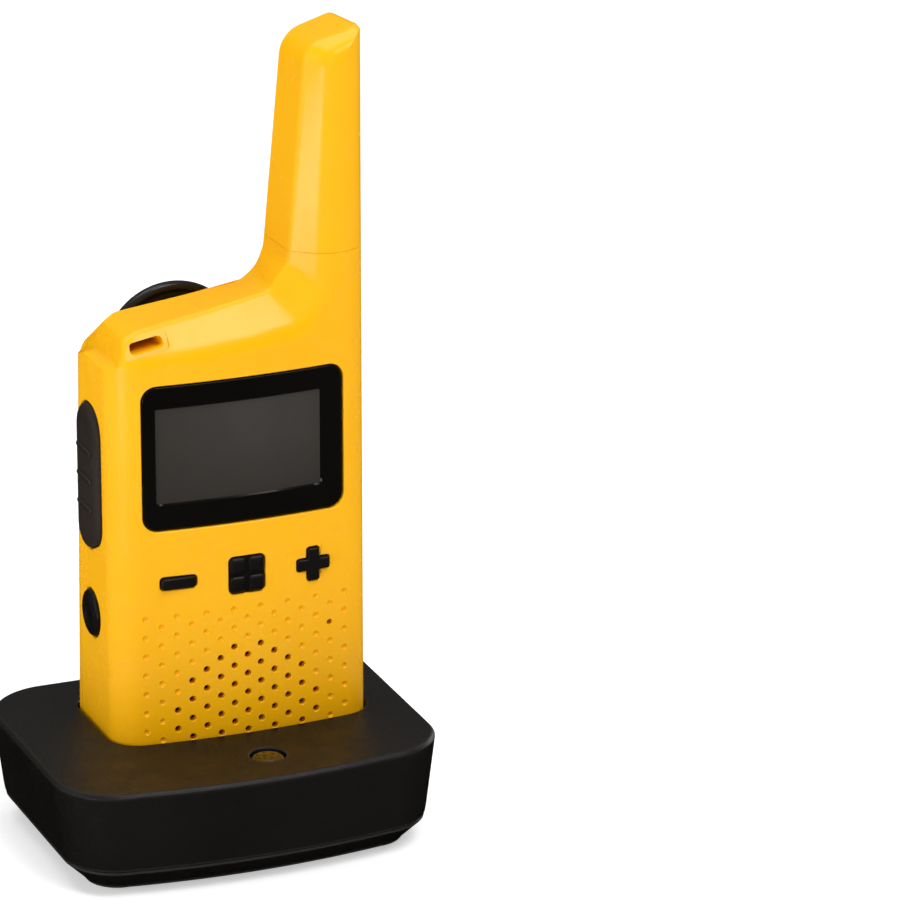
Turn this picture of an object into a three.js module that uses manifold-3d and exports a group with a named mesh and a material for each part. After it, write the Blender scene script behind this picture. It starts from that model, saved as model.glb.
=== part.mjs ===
// Handheld two way radio seated in its drop-in charging cradle.
// Millimetres, +Z up, front of the radio towards -Y. The radio's own centre plane is x = 0 in the group
// that holds every piece; that group is shifted so that the whole object stands on z = 0 with its box
// centred on the origin.

import * as THREE from "three";
import { mergeVertices } from "three/addons/utils/BufferGeometryUtils.js";
import Module from "manifold-3d";

const wasm = await Module();
wasm.setup();

// ---------------------------------------------------------------- driving dimensions

const CLEARANCE = 0.3; // gap between neighbouring pieces
const REACH = 100; // longer than any piece: length of a tool that cuts right through

const HALF_WIDTH = 28; // radio body
const FRONT_Y = -15.8; // middle of the bowed front face
const FRONT_SIDE_Y = -14.5; // the same face where its corners begin
const BACK_Y = 14.2;
const FRONT_CORNER = 6.5; // vertical corner radii of the body
const BACK_CORNER = 4.5;
const CHAMFER_Y = -10; // rear limit of the wide front chamfer
const HEAD_BACK_Y = 3.2; // back of the shoulder and of the antenna
const PARTING_Y = 8.5; // front housing ends here
const WALL = 1.8;
const RADIO_BOTTOM = 8;
const BODY_TOP = 101.5; // top of the side walls
const INNER_TOP = 99.5;
const SEAM_Z = 122.2; // antenna cover starts here
const ANTENNA_TOP = 168.7;

const WINDOW = { width: 43.4, height: 30.9, z: 82.8, radius: 3 };
const KEY_Z = 55.7;
const KEY_PITCH = 14.7;
const KEY_PROUD = 0.7;
const PTT = { y: 0.6, z: 75.4, width: 13.2, height: 31.4, proud: 1.3, slant: 2.4 };
const SIDE_KEY = { y: 1.2, z: 45.2, radius: 5, proud: 1 };
const GRILLE = { pitchX: 2.87, pitchZ: 4.15, lowZ: 21.3, holeRadius: 0.65 };
const SPEAKER = { z: 34, radius: 13.5 };
const BOARD_Y = -5.4; // front face of the main board
const CELL = { radius: 5.1, length: 44.5, pitch: 10.7, y: 6.9, z: 53.2 };
const DOOR = { halfWidth: 18, low: 27, high: 88, thickness: 1.6 };
const BOSS_X = 22.9;
const BOSS_LOW_Z = 14;
const BOSS_HIGH_Z = 95.5;

const CLIP = { x: -1, hubY: 18.6, hubZ: 79, hubRadius: 2.6, pinRadius: 1.2, armHalf: 8, tipZ: 31 };
const THUMB_DISC = { radius: 15, z: 91.3, y: 23.2, depth: 2.6 };

const CRADLE = { left: -46.4, right: 36.8, front: -41.6, frontSide: -39.3, back: 24.8, height: 21 };
const CRADLE_CORNER = 14;
const CRADLE_DRAFT = 2.6; // how far the walls lean in over that height
const CRADLE_EDGE = 1.3; // bevel round the top
const CRADLE_WALL = 2;
const BASE_SEAM = 3.2; // the shell ends here and the undercut base starts
const BASE_INSET = 7; // how far the base is drawn in at its bottom
const FOOT_HEIGHT = 0.4;
const TABLE_Z = -2.9;
const BASE_BOTTOM = TABLE_Z + FOOT_HEIGHT;
const PIN = { x: 8, y: -2, radius: 0.9 };
const CRADLE_X = (CRADLE.left + CRADLE.right) / 2;

// ---------------------------------------------------------------- solids and tools

// A closed geometry as a solid.
function solid(geometry) {
  const bare = geometry.clone();
  bare.deleteAttribute("normal");
  bare.deleteAttribute("uv");
  const merged = mergeVertices(bare, 1e-4);
  return new wasm.Manifold(
    new wasm.Mesh({
      numProp: 3,
      vertProperties: new Float32Array(merged.attributes.position.array),
      triVerts: new Uint32Array(merged.index.array),
    }),
  );
}

function toGeometry(made) {
  const mesh = made.getMesh();
  const geometry = new THREE.BufferGeometry();
  geometry.setAttribute("position", new THREE.BufferAttribute(new Float32Array(mesh.vertProperties), 3));
  geometry.setIndex(new THREE.BufferAttribute(new Uint32Array(mesh.triVerts), 1));
  geometry.computeVertexNormals();
  return geometry;
}

const extrude = (shape, depth, steps = 3) =>
  new THREE.ExtrudeGeometry(shape, { depth, bevelEnabled: false, curveSegments: steps });

// Prisms along each axis: their outlines are drawn in (x, y), (x, z) and (y, z).
const prismZ = (shape, low, high, steps) => solid(extrude(shape, high - low, steps).translate(0, 0, low));

const prismY = (shape, low, high, steps) =>
  solid(extrude(shape, high - low, steps).rotateX(Math.PI / 2).translate(0, high, 0));

const TO_X = new THREE.Matrix4().makeBasis(
  new THREE.Vector3(0, 1, 0),
  new THREE.Vector3(0, 0, 1),
  new THREE.Vector3(1, 0, 0),
);

const prismX = (shape, low, high, steps) =>
  solid(extrude(shape, high - low, steps).applyMatrix4(TO_X).translate(low, 0, 0));

const box = (x0, x1, y0, y1, z0, z1) =>
  solid(
    new THREE.BoxGeometry(x1 - x0, y1 - y0, z1 - z0).translate((x0 + x1) / 2, (y0 + y1) / 2, (z0 + z1) / 2),
  );

// Round bars along Y, X and Z between two limits.
const barY = (radius, x, z, low, high, sides = 16) =>
  solid(new THREE.CylinderGeometry(radius, radius, high - low, sides).translate(x, (low + high) / 2, z));

const barX = (radius, y, z, low, high, sides = 16) =>
  solid(
    new THREE.CylinderGeometry(radius, radius, high - low, sides)
      .rotateZ(Math.PI / 2)
      .translate((low + high) / 2, y, z),
  );

const barZ = (radius, x, y, low, high, sides = 16) =>
  solid(
    new THREE.CylinderGeometry(radius, radius, high - low, sides)
      .rotateX(Math.PI / 2)
      .translate(x, y, (low + high) / 2),
  );

// A rectangle with round corners about (x, y).
function roundRect(width, height, radius, x = 0, y = 0) {
  const w = width / 2;
  const h = height / 2;
  const shape = new THREE.Shape();
  shape.moveTo(x - w + radius, y - h);
  shape.absarc(x + w - radius, y - h + radius, radius, -Math.PI / 2, 0);
  shape.absarc(x + w - radius, y + h - radius, radius, 0, Math.PI / 2);
  shape.absarc(x - w + radius, y + h - radius, radius, Math.PI / 2, Math.PI);
  shape.absarc(x - w + radius, y - h + radius, radius, Math.PI, Math.PI * 1.5);
  return shape;
}

const polygon = (points) => new THREE.Shape(points.map(([x, y]) => new THREE.Vector2(x, y)));

// Points of a closed outline given by its corners [x, y, radius]; every corner with a radius becomes an arc.
function cornerPath(corners, steps) {
  const points = [];
  corners.forEach(([x, y, radius], i) => {
    const corner = new THREE.Vector2(x, y);
    if (!radius) {
      points.push(corner);
      return;
    }
    const before = corners[(i + corners.length - 1) % corners.length];
    const after = corners[(i + 1) % corners.length];
    const back = new THREE.Vector2(before[0] - x, before[1] - y).normalize();
    const on = new THREE.Vector2(after[0] - x, after[1] - y).normalize();
    const half = back.angleTo(on) / 2;
    const tangent = radius / Math.tan(half);
    const start = corner.clone().addScaledVector(back, tangent);
    const end = corner.clone().addScaledVector(on, tangent);
    const centre = corner.clone().addScaledVector(back.clone().add(on).normalize(), radius / Math.sin(half));
    const a = start.clone().sub(centre);
    const b = end.clone().sub(centre);
    const sweep = Math.atan2(a.cross(b), a.dot(b));
    for (let k = 0; k <= steps; k++)
      points.push(a.clone().rotateAround(new THREE.Vector2(), (sweep * k) / steps).add(centre));
  });
  return points;
}

// A solid through a row of rings that have the same number of points; its first and last rings are flat.
function loft(rings) {
  const count = rings[0].length;
  const positions = rings.flatMap((ring) => ring.flatMap((p) => [p.x, p.y, p.z]));
  const index = [];
  for (let r = 0; r + 1 < rings.length; r++)
    for (let i = 0; i < count; i++) {
      const a = r * count + i;
      const b = r * count + ((i + 1) % count);
      index.push(a, b, b + count, a, b + count, a + count);
    }
  const addCap = (ring, offset, ascending) => {
    const level = ring.every((p) => p.z === ring[0].z);
    const outline = ring.map((p) => new THREE.Vector2(p.x, level ? p.y : p.z));
    const turn = Math.sign(THREE.ShapeUtils.area(outline));
    for (const face of THREE.ShapeUtils.triangulateShape(outline, [])) {
      const along = Math.sign(THREE.ShapeUtils.area(face.map((i) => outline[i]))) === turn;
      index.push(...(along === ascending ? face : [...face].reverse()).map((i) => i + offset));
    }
  };
  addCap(rings[0], 0, false);
  addCap(rings[rings.length - 1], (rings.length - 1) * count, true);
  const geometry = new THREE.BufferGeometry();
  geometry.setAttribute("position", new THREE.Float32BufferAttribute(positions, 3));
  geometry.setIndex(index);
  const made = solid(geometry);
  return made.volume() > 0 ? made : solid(geometry.setIndex([...index].reverse()));
}

const joined = (parts) => parts.reduce((all, part) => all.add(part));
const cut = (body, tools) => tools.reduce((rest, tool) => rest.subtract(tool), body);

// ---------------------------------------------------------------- outlines of the radio

// The body seen from above, drawn in by inset on every side.
function bodyPlan(inset) {
  const w = HALF_WIDTH - inset;
  const front = FRONT_CORNER - inset;
  const back = BACK_CORNER - inset;
  const cornerY = FRONT_SIDE_Y + FRONT_CORNER;
  const apex = FRONT_Y + inset;
  const lean = 0.12; // slope of the bowed face where it meets a corner
  const sideX = w - front + front * lean;
  const sideY = cornerY - front * Math.sqrt(1 - lean * lean);
  const shape = new THREE.Shape();
  shape.moveTo(-sideX, sideY);
  shape.quadraticCurveTo(0, 2 * apex - sideY, sideX, sideY);
  shape.absarc(w - front, cornerY, front, Math.asin(lean) - Math.PI / 2, 0);
  shape.absarc(w - back, BACK_Y - BACK_CORNER, back, 0, Math.PI / 2);
  shape.absarc(-w + back, BACK_Y - BACK_CORNER, back, Math.PI / 2, Math.PI);
  shape.absarc(-w + front, cornerY, front, Math.PI, Math.PI * 1.5 - Math.asin(lean));
  return shape;
}

// Front outlines, corner by corner: foot, foot, antenna top right, antenna top left, two bends where the
// antenna meets the shoulder, the shoulder, three corners of the stepped left shoulder, top of the side wall.
const OUTLINE_AT_FRONT = [
  [-HALF_WIDTH, RADIO_BOTTOM, 2.5],
  [HALF_WIDTH, RADIO_BOTTOM, 2.5],
  [27.3, 168.1, 1.2],
  [20.5, 163.3, 3],
  [19.5, 112.6, 8],
  [15, 106.6, 8],
  [-2, 105.2, 150],
  [-24.9, 102.2, 0],
  [-26, 101.9, 0],
  [-26.9, 101.7, 0],
  [-HALF_WIDTH, BODY_TOP, 0],
];
const OUTLINE_AT_HEAD = [
  [-HALF_WIDTH, RADIO_BOTTOM, 2.5],
  [HALF_WIDTH, RADIO_BOTTOM, 2.5],
  [27.3, ANTENNA_TOP, 1.2],
  [15.6, 165.3, 5.5],
  [11.6, 119.6, 2.5],
  [7.6, 114.2, 2.5],
  [-5, 111.9, 150],
  [-21.3, 109.2, 0],
  [-24.4, 107.6, 0],
  [-26.2, 103.3, 0],
  [-HALF_WIDTH, BODY_TOP, 0],
];
const OUTLINE_AT_HEAD_BACK = [
  ...OUTLINE_AT_HEAD.slice(0, 4),
  [11.6, 119.6, 8],
  [7.6, 114.2, 8],
  ...OUTLINE_AT_HEAD.slice(6),
];
const OUTLINE_BEHIND_HEAD = [
  [-HALF_WIDTH, RADIO_BOTTOM, 2.5],
  [HALF_WIDTH, RADIO_BOTTOM, 2.5],
  [HALF_WIDTH, 116.4, 0.5],
  [16, 115.6, 0.5],
  [11.6, 114.9, 0.5],
  [7.6, 114.2, 1],
  ...OUTLINE_AT_HEAD.slice(6),
];
const OUTLINE_AT_BACK = [
  [-HALF_WIDTH, RADIO_BOTTOM, 2.5],
  [HALF_WIDTH, RADIO_BOTTOM, 2.5],
  [HALF_WIDTH, 104, 0.5],
  [16, 103.6, 0.5],
  [11.6, 103.4, 0.5],
  [7.6, 103.2, 1],
  [-5, 102, 150],
  [-21.3, 100.5, 0],
  [-24.4, 99.5, 0],
  [-26.2, 98, 0],
  [-HALF_WIDTH, 97, 0],
];

// The whole outer form of the radio, before it is hollowed and parted.
function radioForm() {
  const arcSteps = 5;
  const headStep = 0.2; // depth over which the back of the antenna drops to the shoulder
  const stations = [
    [FRONT_Y - headStep, OUTLINE_AT_FRONT],
    [CHAMFER_Y, OUTLINE_AT_HEAD],
    [HEAD_BACK_Y, OUTLINE_AT_HEAD_BACK],
    [HEAD_BACK_Y + headStep, OUTLINE_BEHIND_HEAD],
    [BACK_Y + headStep, OUTLINE_AT_BACK],
  ];
  const rings = stations.map(([y, corners]) =>
    cornerPath(corners, arcSteps).map((p) => new THREE.Vector3(p.x, y, p.y)),
  );
  const plan = prismZ(bodyPlan(0), RADIO_BOTTOM - 1, ANTENNA_TOP + 1);
  return loft(rings).intersect(plan);
}

const form = radioForm();
const screwPlaces = [-BOSS_X, BOSS_X].flatMap((x) => [BOSS_LOW_Z, BOSS_HIGH_Z].map((z) => [x, z]));
const behind = (y) => box(-REACH, REACH, y, REACH, -REACH, 2 * REACH);
const above = (z) => box(-REACH, REACH, -REACH, REACH, z, z + REACH);

// ---------------------------------------------------------------- radio shells

// Grille places: [x, z, open]. Odd columns sit half a pitch higher; the middle ones are open.
function grillePlaces() {
  const lastRow = 6;
  const columns = 7;
  const firstOpenRow = [2, 2, 2, 3, 3, 5];
  const places = [];
  for (let column = -columns; column <= columns; column++)
    for (let row = 0; row <= lastRow; row++) {
      const odd = Math.abs(column) % 2;
      const spread = 1 + 0.012 * Math.abs(column); // columns open out a little towards the sides
      const x = column * GRILLE.pitchX * spread;
      const z = GRILLE.lowZ + (lastRow - row + odd / 2) * GRILLE.pitchZ;
      places.push([x, z, row >= (firstOpenRow[Math.abs(column)] ?? lastRow + 1)]);
    }
  return places;
}

const MIC_HOLE = [18.4, GRILLE.lowZ + 5 * GRILLE.pitchZ];
const CORE_X = 21.5; // antenna rod
const CORE_Y = -5;

const keyOutline = {
  minus: (grow) => roundRect(7.5 + 2 * grow, 2.5 + 2 * grow, 0.5, -KEY_PITCH, KEY_Z),
  menu: (grow) => roundRect(7.6 + 2 * grow, 7.8 + 2 * grow, 1, 0, KEY_Z),
  plus: (grow) => plusOutline(3.55 + grow, 1.25 + grow, KEY_PITCH, KEY_Z),
};

function plusOutline(arm, half, x, z) {
  const quarter = [
    [arm, -half],
    [arm, half],
    [half, half],
  ];
  const points = [];
  for (let turn = 0; turn < 4; turn++) {
    const c = Math.round(Math.cos((turn * Math.PI) / 2));
    const s = Math.round(Math.sin((turn * Math.PI) / 2));
    for (const [a, b] of quarter) points.push([x + a * c - b * s, z + a * s + b * c]);
  }
  return polygon(points);
}

// Push-to-talk bar in (y, z): its lower end slopes down towards the rear.
function pttOutline(grow) {
  const near = PTT.y - PTT.width / 2 - grow;
  const rear = PTT.y + PTT.width / 2 + grow;
  const low = PTT.z - PTT.height / 2 - grow;
  const high = PTT.z + PTT.height / 2 + grow;
  const corners = [
    [near, low + PTT.slant, 5 + grow],
    [rear, low - PTT.slant, 5.6 + grow],
    [rear, high, 6 + grow],
    [near, high, 6 + grow],
  ];
  return polygon(cornerPath(corners, 4));
}

const windowOutline = (grow) =>
  roundRect(WINDOW.width + 2 * grow, WINDOW.height + 2 * grow, WINDOW.radius, 0, WINDOW.z);

function antennaChannel() {
  return prismZ(roundRect(8.4, 9.6, 1.5, CORE_X, CORE_Y), INNER_TOP - 5, 160);
}

// The room inside the body, the sloping room under the shoulder and the antenna's channel.
function innerSpace() {
  const main = prismZ(bodyPlan(WALL), RADIO_BOTTOM + WALL, INNER_TOP);
  const left = -13;
  const right = HALF_WIDTH - 2.5;
  const shoulder = polygon([
    [left, INNER_TOP - 1],
    [right, INNER_TOP - 1],
    [right, 112],
    [14, 111.5],
    [left, 107.4],
  ]);
  return joined([main, prismY(shoulder, CHAMFER_Y + 2.5, HEAD_BACK_Y + 2.3), antennaChannel()]);
}

// The wrist strap's slot goes back through the left shoulder and rises to the right like the shoulder does.
// A recess that gets shallower towards its top surrounds its front end.
const LANYARD = { left: -25.6, right: -15, low: 104.2, high: 107.9, slotLeft: -23.2, slotRight: -16.3 };

function lanyardTools() {
  const recess = polygon([
    [-REACH, LANYARD.low],
    [-13, LANYARD.low],
    [-11.3, LANYARD.high],
    [-REACH, LANYARD.high],
  ]);
  const slot = polygon([
    [LANYARD.slotLeft, 104.7],
    [LANYARD.slotRight, 105.9],
    [LANYARD.slotRight, 108.1],
    [LANYARD.slotLeft, 106.9],
  ]);
  return [prismX(recess, LANYARD.left, LANYARD.right), prismY(slot, -REACH, REACH)];
}

function frontHousing() {
  const keyTools = Object.values(keyOutline).map((outline) => prismY(outline(CLEARANCE), -REACH, -8));
  const grilleTools = grillePlaces()
    .filter(([, , open]) => open)
    .map(([x, z]) => barY(GRILLE.holeRadius, x, z, -20, -8, 6));
  const shell = cut(form, [behind(PARTING_Y), above(SEAM_Z - CLEARANCE), innerSpace()]);
  const bosses = screwPlaces.map(([x, z]) => barY(2.6, x, z, -12.2, PARTING_Y - CLEARANCE, 12));
  const holes = screwPlaces.map(([x, z]) => barY(1.4, x, z, 1, PARTING_Y + 1, 8));
  return cut(shell.add(joined(bosses)), [
    ...holes,
    ...keyTools,
    ...grilleTools,
    ...lanyardTools(),
    prismY(windowOutline(CLEARANCE), -30, -8),
    barY(0.7, ...MIC_HOLE, -20, -8, 8),
    prismX(pttOutline(CLEARANCE), -40, -20),
    barX(SIDE_KEY.radius + CLEARANCE, SIDE_KEY.y, SIDE_KEY.z, -40, -20, 24),
    ...padPlaces().map(([x, y]) => box(x - 2.3, x + 2.3, y - 1.8, y + 1.8, 0, 20)),
  ]);
}

const padPlaces = () => [-PIN.x, PIN.x].map((x) => [x, PIN.y]);

function rearHousing() {
  const start = PARTING_Y + CLEARANCE;
  const shell = cut(form.intersect(behind(start)), [
    prismZ(bodyPlan(WALL), RADIO_BOTTOM + WALL, 94).subtract(behind(BACK_Y - WALL)),
  ]);
  const bosses = screwPlaces.map(([x, z]) => barY(3.4, x, z, start, BACK_Y - 1, 12).intersect(form));
  return cut(shell.add(joined(bosses)), [
    ...screwPlaces.map(([x, z]) => barY(1.4, x, z, 0, REACH, 8)),
    ...screwPlaces.map(([x, z]) => barY(2.6, x, z, 11.4, REACH, 12)),
    prismY(doorOutline(0), 0, REACH),
    ...lanyardTools(),
  ]);
}

const doorOutline = (inset) =>
  roundRect(
    2 * (DOOR.halfWidth - inset),
    DOOR.high - DOOR.low - 2 * inset,
    3,
    0,
    (DOOR.high + DOOR.low) / 2,
  );

function antennaCover() {
  return cut(form.intersect(above(SEAM_Z)), [antennaChannel()]);
}

// Slab that follows the bowed front face between two depths below it.
function frontSlab(outline, near, far) {
  const low = 40;
  const high = 110;
  const slab = prismZ(bodyPlan(near), low, high).subtract(prismZ(bodyPlan(far), low - 1, high + 1));
  return prismY(outline, -REACH, 0).intersect(slab);
}

// ---------------------------------------------------------------- keys of the radio

const WALL_BACK_Y = FRONT_Y + WALL;
const KEY_X = { minus: -KEY_PITCH, menu: 0, plus: KEY_PITCH };
const FLANGE = 9.6; // width of the square flange that holds a key in

// How far the bowed front lies behind its middle at a distance from the centre plane.
const bowAt = (x) => (FRONT_SIDE_Y - FRONT_Y) * (x / (HALF_WIDTH - FRONT_CORNER)) ** 2;

// A front key: its face stands proud of the housing, its flange stays behind the wall.
function frontKey(name) {
  const x = KEY_X[name];
  const flangeY = WALL_BACK_Y + bowAt(Math.abs(x) + FLANGE / 2) + 0.4;
  const face = prismY(keyOutline[name](0), FRONT_Y - KEY_PROUD + bowAt(x), flangeY + 0.5);
  const flange = prismY(roundRect(FLANGE, FLANGE, 1, x, KEY_Z), flangeY, flangeY + 1);
  const stem = barY(1.6, x, KEY_Z, flangeY + 0.5, -7.5, 12);
  return joined([face, flange, stem]);
}

// The square key has a cross groove that parts its face into four pads.
function menuKey() {
  const groove = 0.35;
  const depth = 0.7;
  const face = FRONT_Y - KEY_PROUD;
  return cut(frontKey("menu"), [
    box(-groove, groove, face - 1, face + depth, KEY_Z - 6, KEY_Z + 6),
    box(-6, 6, face - 1, face + depth, KEY_Z - groove, KEY_Z + groove),
  ]);
}

function pttButton() {
  const cap = prismX(pttOutline(0), -HALF_WIDTH - PTT.proud + 0.4, -HALF_WIDTH + WALL + 0.4);
  const crown = prismX(pttOutline(-1.2), -HALF_WIDTH - PTT.proud, -HALF_WIDTH);
  const flange = prismX(pttOutline(1), -HALF_WIDTH + WALL + 0.4, -HALF_WIDTH + WALL + 1.4);
  const stem = barX(2, PTT.y, PTT.z, -HALF_WIDTH + WALL, -23.2, 12);
  const ridgeTop = -HALF_WIDTH - PTT.proud - 0.4;
  const half = 0.6;
  const ridges = [-6.2, 0, 6.2]
    .map((dz) => PTT.z + dz)
    .map((z) => box(ridgeTop, -HALF_WIDTH, PTT.y - 4.6, PTT.y + 4.6, z - half, z + half));
  return joined([cap, crown, flange, stem, ...ridges]);
}

function sideButton() {
  const { y, z, radius, proud } = SIDE_KEY;
  return joined([
    barX(radius, y, z, -HALF_WIDTH - proud + 0.3, -HALF_WIDTH + WALL + 0.4, 24),
    barX(radius - 0.8, y, z, -HALF_WIDTH - proud, -HALF_WIDTH, 24),
    barX(radius + 1, y, z, -HALF_WIDTH + WALL + 0.4, -HALF_WIDTH + WALL + 1.4, 24),
    barX(1.8, y, z, -HALF_WIDTH + WALL, -23.2, 12),
  ]);
}

// The switch that a button on the left side presses on.
const sideSwitch = ({ y, z }) => box(-22.1, -20.1, y - 2.4, y + 2.4, z - 3, z + 3);

// ---------------------------------------------------------------- belt clip

const CLIP_GAP_Y = 19.2; // inner face of the clip's arm
const SPRING_ROOM = 4.2; // half the width of the gap in the hub that holds the spring
const pinHole = () => barX(CLIP.pinRadius + CLEARANCE, CLIP.hubY, CLIP.hubZ, -REACH, REACH, 12);

// The pinched arm: a dished round thumb tab on top, a tongue below that hooks in at its tip.
function beltClip() {
  const { x, hubY, hubZ, hubRadius, armHalf, tipZ } = CLIP;
  const { radius, z, y, depth } = THUMB_DISC;
  const rim = 1.6;
  const disc = barY(radius, x, z, y, y + depth, 28);
  const dish = barY(radius - rim, x, z, y - 1, y + depth / 3, 28);
  const arm = prismX(
    polygon([
      [CLIP_GAP_Y, 38],
      [17.2, 33.5],
      [15.4, tipZ],
      [17.2, tipZ],
      [19.4, 32.4],
      [21.4, 37],
      [21.4, 74],
      [23.2, 78],
      [25.6, 84],
      [25.6, 90],
      [y + 0.9, 90],
      [y + 0.9, 86],
      [CLIP_GAP_Y, 76],
    ]),
    x - armHalf,
    x + armHalf,
  );
  const hub = barX(hubRadius, hubY, hubZ, x - armHalf, x + armHalf, 16);
  const half = hubRadius + 0.4;
  const springRoom = box(-SPRING_ROOM, SPRING_ROOM, -half, half, -half, half).translate(x, hubY, hubZ);
  return cut(joined([disc.subtract(dish), arm, hub]), [pinHole(), springRoom]);
}

// Two ears on a plate that is fixed to the battery door.
function clipBracket() {
  const { x, hubY, hubZ, hubRadius, armHalf } = CLIP;
  const width = 2.2;
  const plate = box(x - 12, x + 12, BACK_Y + CLEARANCE, BACK_Y + 1.5, hubZ - 5, hubZ + 5);
  const ear = (low) =>
    box(low, low + width, BACK_Y + 1, hubY, hubZ - hubRadius, hubZ + hubRadius).add(
      barX(hubRadius, hubY, hubZ, low, low + width, 16),
    );
  const ears = [ear(x - armHalf - 0.4 - width), ear(x + armHalf + 0.4)];
  return cut(joined([plate, ...ears]), [pinHole()]);
}

function clipSpring() {
  const { x, hubY, hubZ } = CLIP;
  const half = SPRING_ROOM - 0.7;
  return coil(2.1, 0.35, 6, 0, 0, -half, half).applyMatrix4(TO_X).translate(x, hubY, hubZ);
}

// ---------------------------------------------------------------- cradle

// The cradle seen from above, drawn in by inset.
function cradleRing(inset, z) {
  const corner = CRADLE_CORNER - inset;
  const steps = 6;
  const bow = 8;
  const left = CRADLE.left + inset;
  const right = CRADLE.right - inset;
  const back = CRADLE.back - inset;
  const side = CRADLE.frontSide + inset;
  const apex = CRADLE.front + inset;
  const points = [];
  const arc = (cx, cy, from, to) => {
    for (let k = 0; k <= steps; k++) {
      const angle = from + ((to - from) * k) / steps;
      points.push(new THREE.Vector3(cx + corner * Math.cos(angle), cy + corner * Math.sin(angle), z));
    }
  };
  const span = right - left - 2 * corner;
  for (let k = 1; k < bow; k++) {
    const t = k / bow;
    points.push(new THREE.Vector3(left + corner + span * t, side + (apex - side) * 4 * t * (1 - t), z));
  }
  arc(right - corner, side + corner, -Math.PI / 2, 0);
  arc(right - corner, back - corner, 0, Math.PI / 2);
  arc(left + corner, back - corner, Math.PI / 2, Math.PI);
  arc(left + corner, side + corner, Math.PI, Math.PI * 1.5);
  return points;
}

const draftAt = (z) => (CRADLE_DRAFT * (CRADLE.height - z)) / CRADLE.height;

const POCKET_FLOOR = 7.6;
const FLOOR_THICKNESS = 1.6;
const SOCKET = { halfWidth: 4, low: 6, height: 3 };

function cradleShell() {
  const top = CRADLE.height;
  const edgeZ = top - CRADLE_EDGE;
  const outer = loft([
    cradleRing(draftAt(BASE_SEAM), BASE_SEAM),
    cradleRing(draftAt(edgeZ), edgeZ),
    cradleRing(draftAt(edgeZ) + CRADLE_EDGE * 0.35, edgeZ + CRADLE_EDGE * 0.7),
    cradleRing(CRADLE_EDGE, top),
  ]);
  const inner = loft([
    cradleRing(draftAt(0) + CRADLE_WALL, 0),
    cradleRing(draftAt(top) + CRADLE_WALL + 0.6, top - CRADLE_WALL),
  ]);
  const wellWall = prismZ(bodyPlan(-CLEARANCE - 1.8), POCKET_FLOOR - FLOOR_THICKNESS, top - 1);
  const pocket = prismZ(bodyPlan(-CLEARANCE - 0.1), POCKET_FLOOR, REACH);
  const posts = BASE_SCREWS.map(({ x, y, post }) => barZ(POST_RADIUS, x, y, POST_LOW, post, 12));
  const hollow = outer.subtract(inner).add(joined([wellWall, ...posts]));
  return cut(hollow, [
    pocket,
    ...BASE_SCREWS.map(({ x, y, end }) => barZ(SCREW_HOLE, x, y, 0, end + 0.4, 8)),
    ...padPlaces().map(([x, y]) => barZ(PIN.radius + CLEARANCE, x, y, 0, REACH, 12)),
    barZ(INDICATOR.radius + CLEARANCE, INDICATOR.x, INDICATOR.y, 10, REACH, 24),
    box(
      CRADLE_X - SOCKET.halfWidth - CLEARANCE,
      CRADLE_X + SOCKET.halfWidth + CLEARANCE,
      15,
      REACH,
      SOCKET.low - CLEARANCE,
      SOCKET.low + SOCKET.height + CLEARANCE,
    ),
  ]);
}

const INDICATOR = { x: -0.9, y: -29.4, radius: 3.6 };

// Posts of the shell that the base is screwed to: their places and upper ends, and where the screws end.
// The rear pair hangs under the pocket's floor.
const POST_RADIUS = 3;
const POST_LOW = 4;
const SCREW_HOLE = 1.4;
const BASE_SCREWS = [
  { x: CRADLE.left + 14, y: CRADLE.front + 15, post: CRADLE.height - 1, end: 12 },
  { x: -24, y: 1, post: POCKET_FLOOR - 1, end: POCKET_FLOOR - 1.2 },
  { x: CRADLE.right - 13, y: CRADLE.front + 15, post: CRADLE.height - 1, end: 12 },
  { x: 22, y: 1, post: POCKET_FLOOR - 1, end: POCKET_FLOOR - 1.2 },
];
const FOOT_RADIUS = 3.5;

const FOOT_PLACES = [
  [CRADLE.left + 22, CRADLE.front + 14],
  [CRADLE.left + 22, CRADLE.back - 12.5],
  [CRADLE.right - 20, CRADLE.front + 14],
  [CRADLE.right - 20, CRADLE.back - 12.5],
];

// The base is a tray with sloping sides.
function cradleBase() {
  const topInset = draftAt(BASE_SEAM) + CLEARANCE;
  const lip = BASE_SEAM - CLEARANCE;
  const floor = BASE_BOTTOM + 1.6;
  const tray = loft([
    cradleRing(BASE_INSET + 0.4, BASE_BOTTOM),
    cradleRing(BASE_INSET, BASE_BOTTOM + 0.4),
    cradleRing(topInset, lip - 0.3),
    cradleRing(topInset, lip),
  ]);
  const hollow = loft([
    cradleRing(BASE_INSET + CRADLE_WALL, floor),
    cradleRing(topInset + CRADLE_WALL, lip - 0.3),
    cradleRing(topInset + CRADLE_WALL, lip + 1),
  ]);
  const posts = BASE_SCREWS.map(({ x, y }) => barZ(POST_RADIUS, x, y, floor - 1, POST_LOW - CLEARANCE, 12));
  return cut(tray.subtract(hollow).add(joined(posts)), [
    ...BASE_SCREWS.map(({ x, y }) => barZ(SCREW_HOLE, x, y, TABLE_Z - 1, 10, 8)),
    ...BASE_SCREWS.map(({ x, y }) => barZ(2.4, x, y, TABLE_Z - 1, BASE_BOTTOM + 1.2, 12)),
    ...FOOT_PLACES.map(([x, y]) => barZ(FOOT_RADIUS + 0.4, x, y, TABLE_Z - 1, BASE_BOTTOM + 0.4, 16)),
  ]);
}

function baseScrew({ x, y, end }) {
  const headTop = BASE_BOTTOM + 0.9;
  return barZ(2, x, y, BASE_BOTTOM + 0.2, headTop, 12).add(barZ(1.05, x, y, headTop - 0.1, end, 8));
}

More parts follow.
